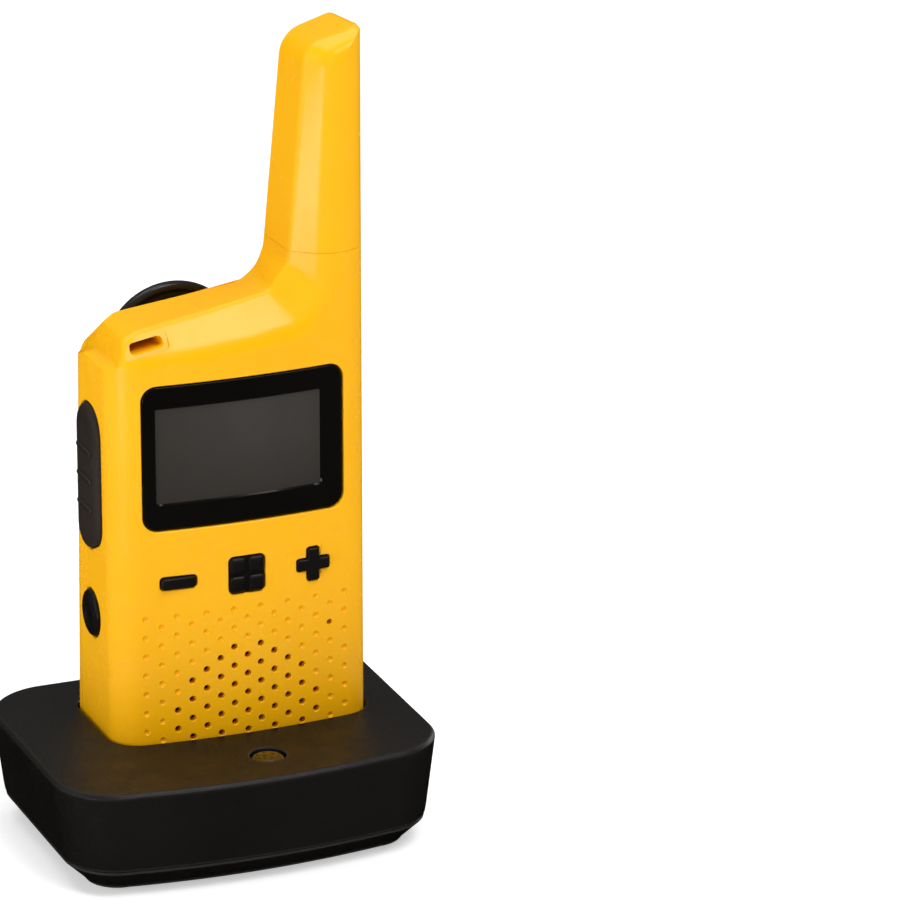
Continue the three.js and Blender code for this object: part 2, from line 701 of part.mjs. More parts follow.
function usbSocket() {
  const { halfWidth, low, height } = SOCKET;
  const front = 16.5;
  const mouth = CRADLE.back - 1.6;
  const shell = box(CRADLE_X - halfWidth, CRADLE_X + halfWidth, front, mouth, low, low + height);
  const opening = box(CRADLE_X - 3.4, CRADLE_X + 3.4, front + 1, REACH, low + 0.5, low + height - 0.5);
  const tongue = box(CRADLE_X - 2.6, CRADLE_X + 2.6, front + 0.5, mouth - 0.8, low + 1.2, low + 1.8);
  return shell.subtract(opening).add(tongue);
}

// ---------------------------------------------------------------- small shapes

// A screw along Y, its head towards the back of the radio, with a cross recess.
function housingScrew([x, z]) {
  const headBack = 13.1;
  const head = barY(2.2, x, z, 11.7, headBack, 16);
  const shank = barY(1.05, x, z, 2, 11.9, 8);
  const recess = 0.7;
  return cut(joined([head, shank]), [
    box(x - 1.4, x + 1.4, headBack - recess, REACH, z - 0.3, z + 0.3),
    box(x - 0.3, x + 0.3, headBack - recess, REACH, z - 1.4, z + 1.4),
  ]);
}

// A tube of radius thickness along a helix about +Z.
function coil(radius, thickness, turns, x, y, low, high, sides = 3) {
  class Helix extends THREE.Curve {
    getPoint(t, target = new THREE.Vector3()) {
      const angle = 2 * Math.PI * turns * t;
      return target.set(x + radius * Math.cos(angle), y + radius * Math.sin(angle), low + (high - low) * t);
    }
  }
  const section = new THREE.Shape().absarc(0, 0, thickness, 0, 2 * Math.PI);
  return new THREE.ExtrudeGeometry(section, {
    steps: turns * 8,
    curveSegments: sides,
    extrudePath: new Helix(),
  });
}

function batteryCell(column) {
  const { radius, length, pitch, y, z } = CELL;
  const body = [
    [0, 0],
    [radius - 0.5, 0],
    [radius, 0.5],
    [radius, length - 1.5],
    [radius - 0.5, length - 1],
    [1.9, length - 1],
    [1.9, length],
    [0, length],
  ].map(([r, h]) => new THREE.Vector2(r, h));
  return new THREE.LatheGeometry(body, 24)
    .rotateX(Math.PI / 2)
    .translate(column * pitch, y, z - length / 2);
}

function batteryBay() {
  const half = CELL.pitch * 1.5 + 0.4;
  const low = CELL.z - CELL.length / 2 - 2;
  const high = CELL.z + CELL.length / 2 + 2;
  const back = BACK_Y - DOOR.thickness - 0.6;
  return box(-half - 1, half + 1, 0.3, back, low, high).subtract(
    box(-half, half, 1.3, REACH, low + 1, high - 1),
  );
}

function speakerBasket() {
  const { z, radius } = SPEAKER;
  const dish = barY(radius - 1.4, 0, z, -14, -11.4, 32);
  return cut(barY(radius, 0, z, -13, -10.6, 32), [dish, barY(7, 0, z, -14, 0, 24)]);
}

function speakerCone() {
  const ring = [
    [0, 0.6],
    [3, 0.6],
    [4.5, 0.2],
    [11.6, 1],
    [11.6, 1.35],
    [4.6, 0.6],
    [3, 1],
    [0, 1],
  ].map(([r, h]) => new THREE.Vector2(r, h));
  return new THREE.LatheGeometry(ring, 24).rotateZ(Math.PI).translate(0, -11.7, SPEAKER.z);
}

// ---------------------------------------------------------------- materials and pieces

const finish = (color, roughness, metalness = 0) =>
  new THREE.MeshStandardMaterial({ color, roughness, metalness });

const LOOK = {
  shell: () => finish(0xfdb81f, 0.3),
  rubber: () => finish(0x2a2624, 0.65),
  cradle: () => finish(0x191716, 0.6),
  lens: () => finish(0x0a0908, 0.08),
  screen: () => finish(0x44403c, 0.35),
  board: () => finish(0x1f5c3a, 0.5),
  steel: () => finish(0xb9bbbd, 0.3, 1),
  gold: () => finish(0xd4a548, 0.3, 1),
  dark: () => finish(0x1c1b1b, 0.55),
  cell: () => finish(0x4a6a55, 0.4),
};

const radio = new THREE.Group();

function piece(name, form, look) {
  const geometry = form.isBufferGeometry ? form : toGeometry(form);
  const mesh = new THREE.Mesh(geometry, LOOK[look]());
  mesh.name = name;
  radio.add(mesh);
}

piece("front_housing", frontHousing(), "shell");
piece("rear_housing", rearHousing(), "shell");
piece("antenna_cover", antennaCover(), "shell");
piece("antenna_core", barZ(1.2, CORE_X, CORE_Y, 106, 158, 10), "dark");
piece("antenna_coil", coil(2.3, 0.35, 9, CORE_X, CORE_Y, 110, 156), "gold");
piece("display_lens", frontSlab(windowOutline(0), 0.25, 1.7), "lens");
piece("lcd_module", box(-19, 19, -12.4, -10.2, WINDOW.z - 12.6, WINDOW.z + 12.6), "screen");
piece("main_board", box(-19.6, 19.6, BOARD_Y, BOARD_Y + 1.2, 11, 98.5), "board");
piece("rf_shield", box(-12, 12, -3.9, -1.4, 80, 96), "steel");
piece("minus_button", frontKey("minus"), "rubber");
piece("menu_button", menuKey(), "rubber");
piece("plus_button", frontKey("plus"), "rubber");
["minus", "menu", "plus"].forEach((name, i) =>
  piece(`${name}_dome`, barY(2.4, (i - 1) * KEY_PITCH, KEY_Z, BOARD_Y - 1, BOARD_Y - CLEARANCE, 12), "steel"),
);
piece("ptt_button", pttButton(), "rubber");
piece("ptt_switch", sideSwitch(PTT), "dark");
piece("side_button", sideButton(), "rubber");
piece("side_switch", sideSwitch(SIDE_KEY), "dark");
piece("speaker_basket", speakerBasket(), "steel");
piece("speaker_cone", speakerCone(), "dark");
piece("speaker_magnet", barY(8.2, 0, SPEAKER.z, -10.3, -6.2, 24), "steel");
piece("microphone", barY(2, ...MIC_HOLE, -12.6, -10.6, 12), "steel");
screwPlaces.forEach((place, i) => piece(`housing_screw_${i + 1}`, housingScrew(place), "steel"));
piece("battery_bay", batteryBay(), "dark");
[-1, 0, 1].forEach((column) => piece(`battery_cell_${column + 2}`, batteryCell(column), "cell"));
["low", "high"].forEach((end) => {
  const z = end === "low" ? CELL.z - CELL.length / 2 - 0.7 : CELL.z + CELL.length / 2 + 0.3;
  piece(`battery_contact_${end}`, box(-15.5, 15.5, 3, 11, z, z + 0.4), "steel");
});
padPlaces().forEach(([x, y], i) =>
  piece(`charge_pad_${i + 1}`, box(x - 2, x + 2, y - 1.5, y + 1.5, RADIO_BOTTOM, RADIO_BOTTOM + 2.2), "gold"),
);
piece("battery_door", prismY(doorOutline(CLEARANCE), BACK_Y - DOOR.thickness, BACK_Y), "shell");
piece("clip_bracket", clipBracket(), "dark");
piece("clip_pin", barX(CLIP.pinRadius, CLIP.hubY, CLIP.hubZ, CLIP.x - 10.5, CLIP.x + 10.5, 12), "steel");
piece("clip_spring", clipSpring(), "steel");
piece("belt_clip", beltClip(), "dark");

piece("cradle_shell", cradleShell(), "cradle");
piece("cradle_base", cradleBase(), "cradle");
BASE_SCREWS.forEach((screw, i) => piece(`base_screw_${i + 1}`, baseScrew(screw), "steel"));
FOOT_PLACES.forEach(([x, y], i) =>
  piece(`foot_${i + 1}`, barZ(FOOT_RADIUS, x, y, TABLE_Z, BASE_BOTTOM + 0.1, 20), "rubber"),
);
piece("cradle_board", box(-14, 14, -12, 10, 2.4, 3.4), "board");
padPlaces().forEach(([x, y], i) => piece(`charge_pin_${i + 1}`, barZ(PIN.radius, x, y, 5, 7.7, 12), "gold"));
piece("usb_socket", usbSocket(), "steel");
piece("indicator_lens", barZ(INDICATOR.radius, INDICATOR.x, INDICATOR.y, 17.5, 20.9, 24), "lens");

const frontMost = CRADLE.front + draftAt(CRADLE.height - CRADLE_EDGE);
const backMost = THUMB_DISC.y + THUMB_DISC.depth;
radio.position.set(-CRADLE_X, -(frontMost + backMost) / 2, -TABLE_Z);

const assembly = new THREE.Group();
assembly.add(radio);

export default assembly;
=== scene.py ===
"""Looks of the two way radio in its charging cradle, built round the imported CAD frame.

Shapes are written in millimetres in the radio's own coordinates: x = 0 is its centre plane and its front
faces -Y. They are put into the frame, in metres, when a piece is finished.
"""

import math

import bmesh
import bpy
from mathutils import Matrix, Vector


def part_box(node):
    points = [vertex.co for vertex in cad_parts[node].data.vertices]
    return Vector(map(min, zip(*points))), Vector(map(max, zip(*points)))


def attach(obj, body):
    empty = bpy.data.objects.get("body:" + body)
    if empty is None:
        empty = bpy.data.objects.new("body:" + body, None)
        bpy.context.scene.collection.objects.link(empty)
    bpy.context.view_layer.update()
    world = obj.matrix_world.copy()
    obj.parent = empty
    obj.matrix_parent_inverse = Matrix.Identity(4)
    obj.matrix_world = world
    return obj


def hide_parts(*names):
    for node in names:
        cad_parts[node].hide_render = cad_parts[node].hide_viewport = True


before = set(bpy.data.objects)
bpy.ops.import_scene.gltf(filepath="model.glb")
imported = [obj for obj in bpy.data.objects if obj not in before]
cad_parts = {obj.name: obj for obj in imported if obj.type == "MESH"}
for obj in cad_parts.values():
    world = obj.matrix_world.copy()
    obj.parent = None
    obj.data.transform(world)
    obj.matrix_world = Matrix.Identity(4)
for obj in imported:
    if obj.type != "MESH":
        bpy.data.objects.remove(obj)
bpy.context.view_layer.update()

MM = 0.001
scene = bpy.context.scene

# ------------------------ camera

VIEW_BACK = Vector((-0.35354, -0.87065, 0.34202))  # from the object towards the camera
VIEW_TARGET = Vector((0.04889, -0.01007, 0.08035))
VIEW_DISTANCE = 1.3
VIEW_LENS = 252.1


def add_camera():
    data = bpy.data.cameras.new("camera")
    data.lens = VIEW_LENS
    data.sensor_width = 36
    data.clip_start, data.clip_end = 0.05, 20
    camera = bpy.data.objects.new("camera", data)
    camera.location = VIEW_TARGET + VIEW_BACK * VIEW_DISTANCE
    camera.rotation_mode = "QUATERNION"
    camera.rotation_quaternion = (-VIEW_BACK).to_track_quat("-Z", "Y")
    scene.collection.objects.link(camera)
    scene.camera = camera


add_camera()

# ------------------------ dimensions of the object

CLEARANCE = 0.3
HALF_WIDTH = 28
FRONT_Y = -15.8
FRONT_SIDE_Y = -14.5
BACK_Y = 14.2
FRONT_CORNER = 6.5
BACK_CORNER = 4.5
TOP_BACK_CORNER = 8.8
REAR_CORNER_START = 20
REAR_CORNER_END = 100
CHAMFER_Y = -10
HEAD_BACK_Y = 3.2
PARTING_Y = 8.5
PARTING_GAP = 0.16
WALL = 1.8
RADIO_BOTTOM = 8
BODY_TOP = 101.5
INNER_TOP = 99.5
SEAM_Z = 122.2
SEAM_GAP = 0.07
ANTENNA_TOP = 168.7
REACH = 100

WINDOW = {"width": 43.4, "height": 30.9, "z": 82.8, "radius": 3}
SCREEN = {"left": -18.9, "right": 16.7, "low": 73, "high": 93.4}
KEY_Z = 55.7
KEY_PITCH = 14.7
PTT = {"y": 0.6, "z": 75.4, "width": 13.2, "height": 31.4}
SIDE_KEY = {"y": 1.2, "z": 45.2, "radius": 5}
GRILLE = {"pitch_x": 2.87, "pitch_z": 4.15, "low_z": 21.3, "radius": 0.65}
DOOR = {"half_width": 18, "low": 27, "high": 88, "thickness": 1.6}
SCREW_PLACES = [(x, z) for x in (-22.9, 22.9) for z in (14, 95.5)]
SLOT_LEFT = -23.2
SLOT_RIGHT = -16.3

CRADLE = {"left": -46.4, "right": 36.8, "front": -41.6, "front_side": -39.3, "back": 24.8, "height": 21}
CRADLE_CORNER = 14
CRADLE_DRAFT = 2.6
BASE_SEAM = 3.2
BASE_INSET = 7
BASE_BOTTOM = -2.5
POCKET_FLOOR = 7.6
PIN = {"x": 8, "y": -2, "radius": 0.9}
INDICATOR = {"x": -0.9, "y": -29.4, "radius": 3.6}
SOCKET = {"half_width": 4, "low": 6, "height": 3}
CLIP = {"x": -1, "hub_y": 18.6, "hub_z": 79, "hub_radius": 2.6, "pin_radius": 1.2, "half": 8, "tip_z": 31}
DISC = {"radius": 15, "x": -1.4, "z": 91.7, "y": 23.2, "depth": 2.6}
SPRING = {"radius": 2.1, "wire": 0.35, "turns": 6, "half": 3.5}
ROD = {"x": 21.5, "y": -5}
CHANNEL = {"width": 8.4, "depth": 9.6, "top": 160}
COIL = {"radius": 2.3, "wire": 0.35, "turns": 9, "low": 110, "high": 156}

# The main board lies about the radio's centre plane. Its place in the frame says where the radio is.
BOARD_FRONT_Y = -5.4
BOARD_LOW = 11
board_low, board_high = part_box("main_board")
SHIFT = Vector((
    (board_low.x + board_high.x) / 2,
    board_low.y - BOARD_FRONT_Y * MM,
    board_low.z - BOARD_LOW * MM,
))

# ------------------------ mesh tools (millimetres)


def new_object(name, verts, faces):
    mesh = bpy.data.meshes.new(name)
    mesh.from_pydata(verts, [], faces)
    obj = bpy.data.objects.new(name, mesh)
    scene.collection.objects.link(obj)
    return obj


def face_outwards(obj):
    edit = bmesh.new()
    edit.from_mesh(obj.data)
    bmesh.ops.recalc_face_normals(edit, faces=edit.faces)
    edit.to_mesh(obj.data)
    edit.free()
    return obj


def settle(obj):
    """Turns the modifiers of obj into its mesh."""
    bpy.context.view_layer.update()
    graph = bpy.context.evaluated_depsgraph_get()
    mesh = bpy.data.meshes.new_from_object(obj.evaluated_get(graph), depsgraph=graph)
    old = obj.data
    obj.modifiers.clear()
    obj.data = mesh
    bpy.data.meshes.remove(old)
    return obj


def drop(obj):
    mesh = obj.data
    bpy.data.objects.remove(obj)
    bpy.data.meshes.remove(mesh)


def combine(obj, tool, operation):
    mod = obj.modifiers.new("combine", "BOOLEAN")
    mod.operation = operation
    mod.solver = "MANIFOLD"
    mod.object = tool
    settle(obj)
    drop(tool)
    return obj


def carve(obj, *tools):
    for tool in tools:
        combine(obj, tool, "DIFFERENCE")
    return obj


def weld(obj, *parts):
    for part in parts:
        combine(obj, part, "UNION")
    return obj


def gathered(objects):
    """One object that holds the meshes of several that don't touch."""
    verts, faces = [], []
    for obj in objects:
        start = len(verts)
        verts += [tuple(v.co) for v in obj.data.vertices]
        faces += [[start + i for i in p.vertices] for p in obj.data.polygons]
        drop(obj)
    return new_object("gathered", verts, faces)


def loft(rings, name="loft"):
    """A closed solid through rings that have the same number of points."""
    count = len(rings[0])
    verts = [tuple(p) for ring in rings for p in ring]
    faces = []
    for r in range(len(rings) - 1):
        for i in range(count):
            j = (i + 1) % count
            faces.append((r * count + i, r * count + j, (r + 1) * count + j, (r + 1) * count + i))
    faces.append(tuple(reversed(range(count))))
    faces.append(tuple(range((len(rings) - 1) * count, len(rings) * count)))
    return face_outwards(new_object(name, verts, faces))


def box(x0, x1, y0, y1, z0, z1):
    ring = [(x0, y0), (x1, y0), (x1, y1), (x0, y1)]
    return loft([[(x, y, z) for x, y in ring] for z in (z0, z1)])


def soften(obj, width, segments=3, angle=30):
    mod = obj.modifiers.new("soften", "BEVEL")
    mod.width = width
    mod.segments = segments
    mod.limit_method = "ANGLE"
    mod.angle_limit = math.radians(angle)
    mod.use_clamp_overlap = True
    mod.miter_outer = "MITER_ARC"
    return settle(obj)


def clean(obj, distance=0.0004, angle=0.2):
    """Merges points that coincide and dissolves edges inside flat areas."""
    edit = bmesh.new()
    edit.from_mesh(obj.data)
    bmesh.ops.remove_doubles(edit, verts=edit.verts, dist=distance)
    bmesh.ops.dissolve_degenerate(edit, dist=distance, edges=edit.edges)
    bmesh.ops.dissolve_limit(edit, angle_limit=math.radians(angle), verts=edit.verts, edges=edit.edges)
    edit.to_mesh(obj.data)
    edit.free()
    return obj


def sliced(obj, axis, places):
    """Cuts the faces of obj along planes, so that no face is long."""
    edit = bmesh.new()
    edit.from_mesh(obj.data)
    normal = Vector([float(k == axis) for k in range(3)])
    for place in places:
        everything = edit.verts[:] + edit.edges[:] + edit.faces[:]
        bmesh.ops.bisect_plane(edit, geom=everything, dist=0.001, plane_co=normal * place, plane_no=normal)
    edit.to_mesh(obj.data)
    edit.free()
    return obj


# ------------------------ outlines


def arc(cx, cy, radius, start, end, steps):
    span = [math.radians(start + (end - start) * k / steps) for k in range(steps + 1)]
    return [(cx + radius * math.cos(a), cy + radius * math.sin(a)) for a in span]


def circle(cx, cy, radius, count=32):
    return arc(cx, cy, radius, 0, 360, count)[:-1]


def round_rect(width, height, radius, cx=0.0, cy=0.0, steps=6):
    w, h = width / 2 - radius, height / 2 - radius
    points = []
    for x, y, start in ((w, -h, -90), (w, h, 0), (-w, h, 90), (-w, -h, 180)):
        points += arc(cx + x, cy + y, radius, start, start + 90, steps)
    return points


def corner_path(corners, steps):
    """Points of a closed outline given by corners (x, y, radius); a corner with a radius becomes an arc."""
    points = []
    for i, (x, y, radius) in enumerate(corners):
        corner = Vector((x, y))
        if not radius:
            points.append((x, y))
            continue
        before = corners[i - 1]
        after = corners[(i + 1) % len(corners)]
        back = (Vector(before[:2]) - corner).normalized()
        ahead = (Vector(after[:2]) - corner).normalized()
        half = back.angle(ahead) / 2
        start = corner + back * (radius / math.tan(half))
        end = corner + ahead * (radius / math.tan(half))
        centre = corner + (back + ahead).normalized() * (radius / math.sin(half))
        a, b = start - centre, end - centre
        sweep = math.atan2(a.cross(b), a.dot(b))
        turn = math.atan2(a.y, a.x)
        for k in range(steps + 1):
            t = turn + sweep * k / steps
            points.append((centre.x + radius * math.cos(t), centre.y + radius * math.sin(t)))
    return points


def grown(points, distance):
    """The closed outline moved outwards (anticlockwise outlines)."""
    count = len(points)
    moved = []
    for i, (x, y) in enumerate(points):
        ax, ay = points[i - 1]
        bx, by = points[(i + 1) % count]
        first = Vector((y - ay, ax - x)).normalized()
        second = Vector((by - y, x - bx)).normalized()
        normal = (first + second).normalized()
        reach = distance / max(0.5, normal.dot(first))
        moved.append((x + normal.x * reach, y + normal.y * reach))
    return moved


CORNER_LEAN = 0.12  # slope of the bowed front where it meets a corner
BOW_X = HALF_WIDTH - FRONT_CORNER * (1 - CORNER_LEAN)
BOW_Y = FRONT_SIDE_Y + FRONT_CORNER * (1 - math.sqrt(1 - CORNER_LEAN**2))


def refined(outlines, step=1.5):
    """Closed outlines with the same number of points, their long edges divided alike."""
    made = [[] for _ in outlines]
    count = len(outlines[0])
    for i in range(count):
        ends = [(Vector(points[i]), Vector(points[(i + 1) % count])) for points in outlines]
        parts = max(1, math.ceil(max((b - a).length for a, b in ends) / step))
        for points, (a, b) in zip(made, ends):
            points += [tuple(a + (b - a) * k / parts) for k in range(parts)]
    return made


def bow_at(x):
    """How far the bowed front lies behind its middle."""
    return (BOW_Y - FRONT_Y) * (x / BOW_X) ** 2


def body_plan(inset, rear_corner=BACK_CORNER, arc_steps=12, bow_steps=40):
    """The body seen from above, drawn in by inset on every side."""
    w = HALF_WIDTH - inset
    front, back = FRONT_CORNER - inset, rear_corner - inset
    corner_y = FRONT_SIDE_Y + FRONT_CORNER
    side_x = w - front + front * CORNER_LEAN
    side_y = corner_y - front * math.sqrt(1 - CORNER_LEAN**2)
    apex = FRONT_Y + inset
    tilt = math.degrees(math.asin(CORNER_LEAN))
    points = []
    for k in range(bow_steps):
        t = k / bow_steps
        x = side_x * (2 * t - 1)
        points.append((x, apex + (side_y - apex) * (2 * t - 1) ** 2))
    points += arc(w - front, corner_y, front, tilt - 90, 0, arc_steps)
    points += arc(w - back, BACK_Y - rear_corner, back, 0, 90, arc_steps)
    points += arc(-w + back, BACK_Y - rear_corner, back, 90, 180, arc_steps)
    points += arc(-w + front, corner_y, front, 180, 270 - tilt, arc_steps)[:-1]
    return points


def body_block():
    """The body seen from above as a tall block; its rear corners get rounder towards its top."""
    levels = [(RADIO_BOTTOM - 1, 0), (REAR_CORNER_START, 0), (REAR_CORNER_END, 1), (ANTENNA_TOP + 1, 1)]
    growth = TOP_BACK_CORNER - BACK_CORNER
    return loft([[(x, y, z) for x, y in body_plan(0, BACK_CORNER + growth * k)] for z, k in levels])


def prism_z(points, low, high):
    return loft([[(x, y, z) for x, y in points] for z in (low, high)])


def prism_y(points, low, high):
    return loft([[(x, y, z) for x, z in points] for y in (low, high)])


def prism_x(points, low, high):
    return loft([[(x, y, z) for y, z in points] for x in (low, high)])


def on_front(points, depth):
    return [(x, FRONT_Y + bow_at(x) + depth, z) for x, z in points]


def on_side(points, depth):
    return [(-HALF_WIDTH + depth, y, z) for y, z in points]


def on_top(height):
    return lambda points, depth: [(x, y, height - depth) for x, y in points]


def on_back(points, depth):
    return [(x, BACK_Y - depth, z) for x, z in points]


LIP_STEPS = 5


def lip(radius, rounding_out):
    """(growth, depth) pairs of a rounded edge. It starts just above the surface, so that a cut is clean."""
    sign = -1 if rounding_out else 1
    turns = [math.pi / 2 * k / LIP_STEPS for k in range(LIP_STEPS + 1)]
    curve = [(sign * radius * (1 - math.sin(a)), radius * (1 - math.cos(a))) for a in turns]
    over = 0.4
    start = tuple(curve[0][i] + (curve[0][i] - curve[1][i]) * over for i in (0, 1))
    return [(start[0], -3.0), start] + curve[1:]


def lipped(outline, surface, radius, depth, rounding_out=False):
    """A tool through a surface, with a rounded edge where it meets it."""
    levels = lip(radius, rounding_out) + [(0, depth)]
    return loft([surface(grown(outline, g), d) for g, d in levels])


def crowned(outline, surface, levels):
    """A button: (growth, depth) levels from its face backwards; the outline may be a function of growth."""
    at = outline if callable(outline) else lambda g: grown(outline, g)
    return loft([surface(at(g), d) for g, d in levels])


def pad(width, height, radius, cx, cy, steps=4):
    """A rounded rectangle as a function of growth; its corners stay round however far it shrinks."""
    return lambda g: round_rect(width + 2 * g, height + 2 * g, max(radius + g, 0.1), cx, cy, steps)


# ------------------------ outer form of the radio

# Outlines of the form from its front face to its back, as corners (x, z, radius). All stand on the same foot.
FORM_FOOT = [(-HALF_WIDTH, RADIO_BOTTOM, 2.5), (HALF_WIDTH, RADIO_BOTTOM, 2.5)]
FORM_FRONT = [
    *FORM_FOOT,
    (27.8, 168.1, 0.8),
    (20.5, 163, 3),
    (19.5, 112.6, 8),
    (15, 106.6, 8),
    (-2, 105.2, 150),
    (-24.9, 102.2, 1),
    (-26, 101.9, 0.3),
    (-26.9, 101.7, 0.3),
    (-HALF_WIDTH, BODY_TOP, 0.3),
]
FORM_HEAD = [
    *FORM_FOOT,
    (27.8, ANTENNA_TOP, 1.2),
    (15.6, 164.9, 5.5),
    (11.6, 119.6, 2.5),
    (7.6, 114.2, 2.5),
    (-5, 111.9, 150),
    (-21.3, 109.2, 4),
    (-24.2, 107.6, 1.6),
    (-25.8, 102.9, 1),
    (-HALF_WIDTH, BODY_TOP, 0.6),
]
FORM_HEAD_BACK = [
    *FORM_FOOT,
    (27.8, 168.4, 2),
    (15.3, 164.6, 6.5),
    (11, 119.6, 8),
    (8.4, 113.2, 8),
    (-5, 111.1, 150),
    (-21.3, 109.2, 4),
    (-23.7, 107.5, 1.4),
    (-25.4, 102, 0.8),
    FORM_HEAD[-1],
]
FORM_BEHIND = [
    *FORM_FOOT,
    (HALF_WIDTH, 116.4, 0.5),
    (16, 115.2, 0.5),
    (12.2, 114.2, 0.5),
    (8.4, 113.2, 1),
    *FORM_HEAD_BACK[6:],
]
FORM_BACK = [
    *FORM_FOOT,
    (HALF_WIDTH, 104, 0.5),
    (16, 103.6, 0.5),
    (11.6, 103.4, 0.5),
    (7.6, 103.2, 1),
    (-5, 102, 150),
    (-21.3, 100.5, 6),
    (-24.4, 99.5, 2),
    (-26.2, 98, 1),
    (-HALF_WIDTH, 97, 0.5),
]
ARC_STEPS = 8

EDGE_REACH = 2.6  # how far the rounding of the front edge runs to either side
HEAD_EDGE = 1.1  # the same for the edge between the chamfer and the top band
BACK_EDGE = 0.8  # rounding of the antenna's rear edge
EDGE_STEPS = 6
FORM_FRONT_Y = FRONT_Y - 0.2


def plan_front(x):
    """Depth of the body's front, corners included, at a distance from the centre plane."""
    x = min(abs(x), HALF_WIDTH)
    start = HALF_WIDTH - FRONT_CORNER
    if x <= BOW_X:
        return FRONT_Y + bow_at(x)
    return FRONT_SIDE_Y + FRONT_CORNER - math.sqrt(max(0.0, FRONT_CORNER**2 - (x - start) ** 2))


def bend(first, corner, last, t):
    return first * (1 - t) ** 2 + corner * (2 * t * (1 - t)) + last * t**2


def front_edge(front, head, t):
    """A point of the rounded edge between the front face and the chamfer, for one outline point."""
    depth = CHAMFER_Y - FORM_FRONT_Y
    across = Vector((head[0] - front[0], head[1] - front[1]))
    share = 0.0
    for _ in range(8):
        x = front[0] + across.x * min(share, 1)
        share = (plan_front(x) - FORM_FRONT_Y) / depth
    if share < 1:
        x, z = front[0] + across.x * share, front[1] + across.y * share
        edge = Vector((x, FORM_FRONT_Y + depth * share, z))
        on = Vector((across.x, depth, across.y)).normalized()
    else:
        edge = Vector((head[0], plan_front(head[0]), head[1]))
        on = Vector((0, 1, 0))
    weight = min(1.0, across.length / 3)
    inward = -across.normalized() if across.length > 1e-6 else Vector((0, 0))
    step = 0.01
    slope = (plan_front(edge.x + inward.x * step) - plan_front(edge.x)) / step if weight else 0
    back = Vector((inward.x, slope, inward.y)) * weight + Vector((0, -1, 0)) * (1 - weight)
    back.normalize()
    return bend(edge + back * EDGE_REACH, edge, edge + on * EDGE_REACH, t)


def radio_form():
    forms = (FORM_FRONT, FORM_HEAD, FORM_HEAD_BACK, FORM_BEHIND, FORM_BACK)
    outlines = [corner_path(corners, ARC_STEPS) for corners in forms]
    front, head, head_back, behind, back = refined(outlines, 2)
    count = len(front)
    shares = [k / EDGE_STEPS for k in range(EDGE_STEPS + 1)]
    edge = [[front_edge(front[i], head[i], t) for i in range(count)] for t in shares]
    over = [edge[0][i] + (edge[0][i] - edge[1][i]) * 0.4 for i in range(count)]
    rings = [[(p.x, FRONT_Y - 5, p.z) for p in over], over, *edge[1:]]
    for t in shares:
        ring = []
        for i in range(count):
            corner = Vector((head[i][0], CHAMFER_Y, head[i][1]))
            start = edge[-1][i]
            if start.y > CHAMFER_Y - HEAD_EDGE:
                last = Vector((head[i][0], max(start.y, CHAMFER_Y) + HEAD_EDGE * 1.4, head[i][1]))
                if start.y < CHAMFER_Y:
                    start = start + (corner - start) * 0.2
                ring.append(start + (last - start) * (0.1 + 0.9 * t))
                continue
            towards = (corner - start).normalized()
            last = Vector((head[i][0], CHAMFER_Y + HEAD_EDGE, head[i][1]))
            ring.append(bend(corner - towards * HEAD_EDGE, corner, last, t))
        rings.append(ring)
    inner = grown(head_back, -BACK_EDGE)
    for t in shares:
        a = math.pi / 2 * t
        ring = []
        for i in range(count):
            apart = Vector(behind[i]) - Vector(head_back[i])
            share = (1 - math.cos(a)) * min(1.0, apart.length / 3)
            flat = Vector(head_back[i]) * (1 - share) + Vector(inner[i]) * share
            ring.append((flat.x, HEAD_BACK_Y - BACK_EDGE * (1 - math.sin(a)), flat.y))
        rings.append(ring)
    rings.append([(x, HEAD_BACK_Y + 0.05, z) for x, z in behind])
    rings.append([(x, BACK_Y + 0.2, z) for x, z in back])
    obj = loft(rings, "form")
    combine(obj, body_block(), "INTERSECT")
    clean(obj)
    soften(obj, 0.5, 3, 28)
    return sliced(obj, 2, [RADIO_BOTTOM + 3.7 * k for k in range(1, 31)])


# ------------------------ pieces of the radio


def copy_of(obj):
    twin = bpy.data.objects.new(obj.name, obj.data.copy())
    scene.collection.objects.link(twin)
    return twin


def half_space(axis, limit):
    """Everything beyond a limit along an axis, as a large block."""
    low, high = [-2 * REACH] * 3, [2 * REACH] * 3
    low[axis] = limit
    return box(low[0], high[0], low[1], high[1], low[2], high[2])


def antenna_channel():
    outline = round_rect(CHANNEL["width"], CHANNEL["depth"], 1.5, ROD["x"], ROD["y"])
    return prism_z(outline, INNER_TOP - 5, CHANNEL["top"])


HOLLOW_CORNER = TOP_BACK_CORNER - 0.5
REAR_HOLLOW_TOP = 94
SHOULDER_LOW = INNER_TOP - 1
SHOULDER_HOLLOW = [(-13, SHOULDER_LOW), (25.5, SHOULDER_LOW), (25.5, 112), (14, 111.5), (-13, 107.4)]
SHOULDER_FRONT_Y = -7.5
SHOULDER_BACK_Y = 5.5


def inner_space():
    main = prism_z(body_plan(WALL, HOLLOW_CORNER), RADIO_BOTTOM + WALL, INNER_TOP)
    shoulder = prism_y(SHOULDER_HOLLOW, SHOULDER_FRONT_Y, SHOULDER_BACK_Y)
    return weld(main, shoulder, antenna_channel())


LANYARD_CENTRE = Vector((-20, -12, 107.5))
LANYARD_ALONG = Vector((0.989, 0, 0.148))
LANYARD_UP = Vector((0, 0.657, 0.753))


def on_chamfer(points, depth):
    """Points on the chamfer about the strap's slot; a recess there gets shallower towards its top."""
    normal = LANYARD_ALONG.cross(LANYARD_UP).normalized()
    placed = []
    for u, v in points:
        share = min(1.0, max(0.04, (3.2 - v) / 6.3)) if depth > 0 else 1
        u += max(0, depth) if u < -4 else 0
        placed.append(LANYARD_CENTRE + LANYARD_ALONG * u + LANYARD_UP * v - normal * depth * share)
    return placed


